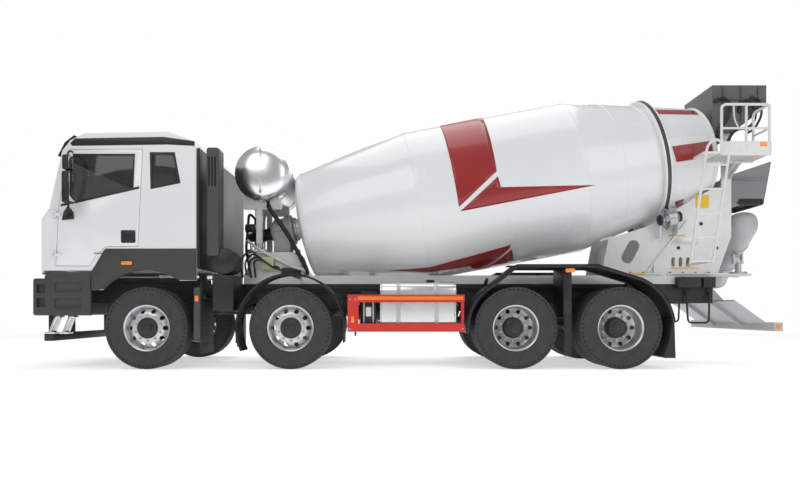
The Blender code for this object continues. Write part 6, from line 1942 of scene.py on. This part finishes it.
    def platform(self) -> None:
        """Deck with non-slip strips and ribs, brackets, toe plate, posts and bent rails."""
        (x0, x1), (y0, y1), top = self.deck_x, self.deck_y, self.deck_top
        deck = Shape().block((x0, x1), (y0, y1), (2.8, top), 0.003)
        deck.block((3.676, 3.908), (-1.165, -0.85), (2.792, top), 0.003)
        for index in range(11):
            x = x0 + 0.03 + 0.06 * index
            deck.block((x - 0.006, x + 0.006), (y0 + 0.01, y1 - 0.01), (2.775, 2.802), 0.002)
        for y in (y0 + 0.006, y1 - 0.006):
            deck.block((x0, x1), (y - 0.006, y + 0.006), (2.768, 2.804), 0.002)
        deck.plate([(-0.416, 2.792), (-0.745, 2.792), (-0.745, 2.762), (-0.416, 2.6)], "X", 4.3,
                   4.312, 0.003)
        deck.block((4.276, 4.396), (-0.742, -0.4155), (2.776, 2.792), 0.003)
        deck.plate([(-0.416, 2.792), (-0.745, 2.792), (-0.745, 2.762), (-0.416, 2.6)], "X", 4.372,
                   4.384, 0.003)
        deck.block((x0, x1), (y0 + 0.001, y0 + 0.009), (2.801, 2.951), 0.003)
        deck.block((x1 - 0.008, x1), (y0 + 0.001, y1), (2.801, 2.951), 0.003)
        deck.piece("platform_deck", FRAME_WHITE)
        strips = Shape()
        for index in range(15):
            x = x0 + 0.03 + 0.042 * index
            strips.block((x - 0.009, x + 0.009), (y0 + 0.03, y1 - 0.02), (top - 0.001, top + 0.003),
                         0.001)
        strips.piece("platform_tread", PALE_STEEL)
        rails, y, high = Shape(), -1.155, self.rail_top
        rails.tube([(3.906, y, 2.8), (3.906, y, high - 0.03), (3.95, y, high), (4.526, y, high),
                    (4.526, -0.765, high), (4.526, -0.765, 2.8)], 0.0175, 5, 0.07)
        for x in (4.226, 4.526):
            rails.rod((x, y, 2.8), (x, y, high - 0.005), 0.0165, 20)
        rails.tube([(3.906, y, 3.121), (4.526, y, 3.121), (4.526, -0.765, 3.121)], 0.0145, 5, 0.03)
        rails.tube([(4.06, y, high - 0.004), (4.1, -1.1, high - 0.18), (4.13, -1.155, 3.121)], 0.01,
                   4, 0.06)
        rails.piece("platform_rails", FRAME_WHITE)
        # This reflector glows through the amber finish: a painted highlight.
        lamp = Shape().block((4.4, 4.49), (y0 - 0.0015, y0 + 0.002), (2.885, 2.94), 0.001)
        lamp.piece("platform_reflector", AMBER)

    def rear_bar(self) -> None:
        """Rear bar on its struts, splash panel, end lamps and lamp clusters."""
        dress("rear_bumper", PALE_GREY, 0.006)
        (x0, x1), (z0, z1) = self.bar_x, self.bar_z
        middle = (z0 + z1) / 2
        ends, black, red, amber = Shape(), Shape(), Shape(), Shape()
        ends.lathe([(0.0, 0.0), (0.03, 0.0), (0.034, -0.004), (0.034, -0.012)],
                   ((x0 + x1) / 2, -1.202, middle), (0, -1, 0), 24)
        for y in (-0.95, -0.62):
            black.block((x1 - 0.004, x1 + 0.012), (y - 0.15, y + 0.15), (z0 + 0.012, z1 - 0.012),
                        0.006)
        for y, width in ((-1.02, 0.06), (-0.86, 0.07), (-0.55, 0.07)):
            red.block((x1 + 0.008, x1 + 0.019), (y - width, y + width), (z0 + 0.024, z1 - 0.024),
                      0.005)
        amber.block((x1 + 0.008, x1 + 0.019), (-0.75, -0.64), (z0 + 0.024, z1 - 0.024), 0.005)
        ends.mirrored().piece("bar_end_lamps", AMBER)
        black.mirrored().piece("tail_lamp_bases", TRIM_BLACK)
        red.mirrored().piece("tail_lamps_red", RED_LENS)
        amber.mirrored().piece("tail_lamps_amber", AMBER)
        plate = Shape().block((x1 - 0.001, x1 + 0.003), (-0.24, 0.24), (z0 + 0.004, z1 - 0.004),
                              0.001)
        plate.piece("number_plate_blank", FRAME_WHITE)

    def tail(self) -> None:
        """Steps under the frame's tail and two bolted boxes beside the left rail."""
        step = Shape()
        step.tube([(3.74, -0.443, 1.02), (3.74, -0.49, 0.96), (3.76, -0.5, 0.585),
                   (4.05, -0.5, 0.585), (4.06, -0.49, 0.96), (4.06, -0.443, 1.02)], 0.0135, 5, 0.06)
        for x in (3.74, 4.06):
            step.block((x - 0.025, x + 0.025), (-0.447, -0.431), (0.99, 1.06), 0.003)
        step.mirrored()
        step.piece("tail_steps", CHASSIS_BLACK)
        box = Shape()
        for x0, x1 in ((3.6, 3.92), (3.95, 4.12)):
            box.block((x0, x1), (-0.56, -0.432), (1.075, 1.225), 0.008)
            box.bolts(((x0 + x1) / 2, -0.56, 1.15), (0, -1, 0), 0.05, 6, 0.008, 0.007)
        box.piece("tail_boxes", CHASSIS_BLACK)


def main() -> None:
    """Build the truck's sub-assemblies in order."""
    logging.basicConfig(level=logging.INFO, format="%(name)s: %(message)s")
    Studio().build()
    build_wheels()
    Cab().build()
    Chassis().build()
    MixerBody().build()
    Drum().build()
    RearEnd().build()


if __name__ == "__main__":
    main()
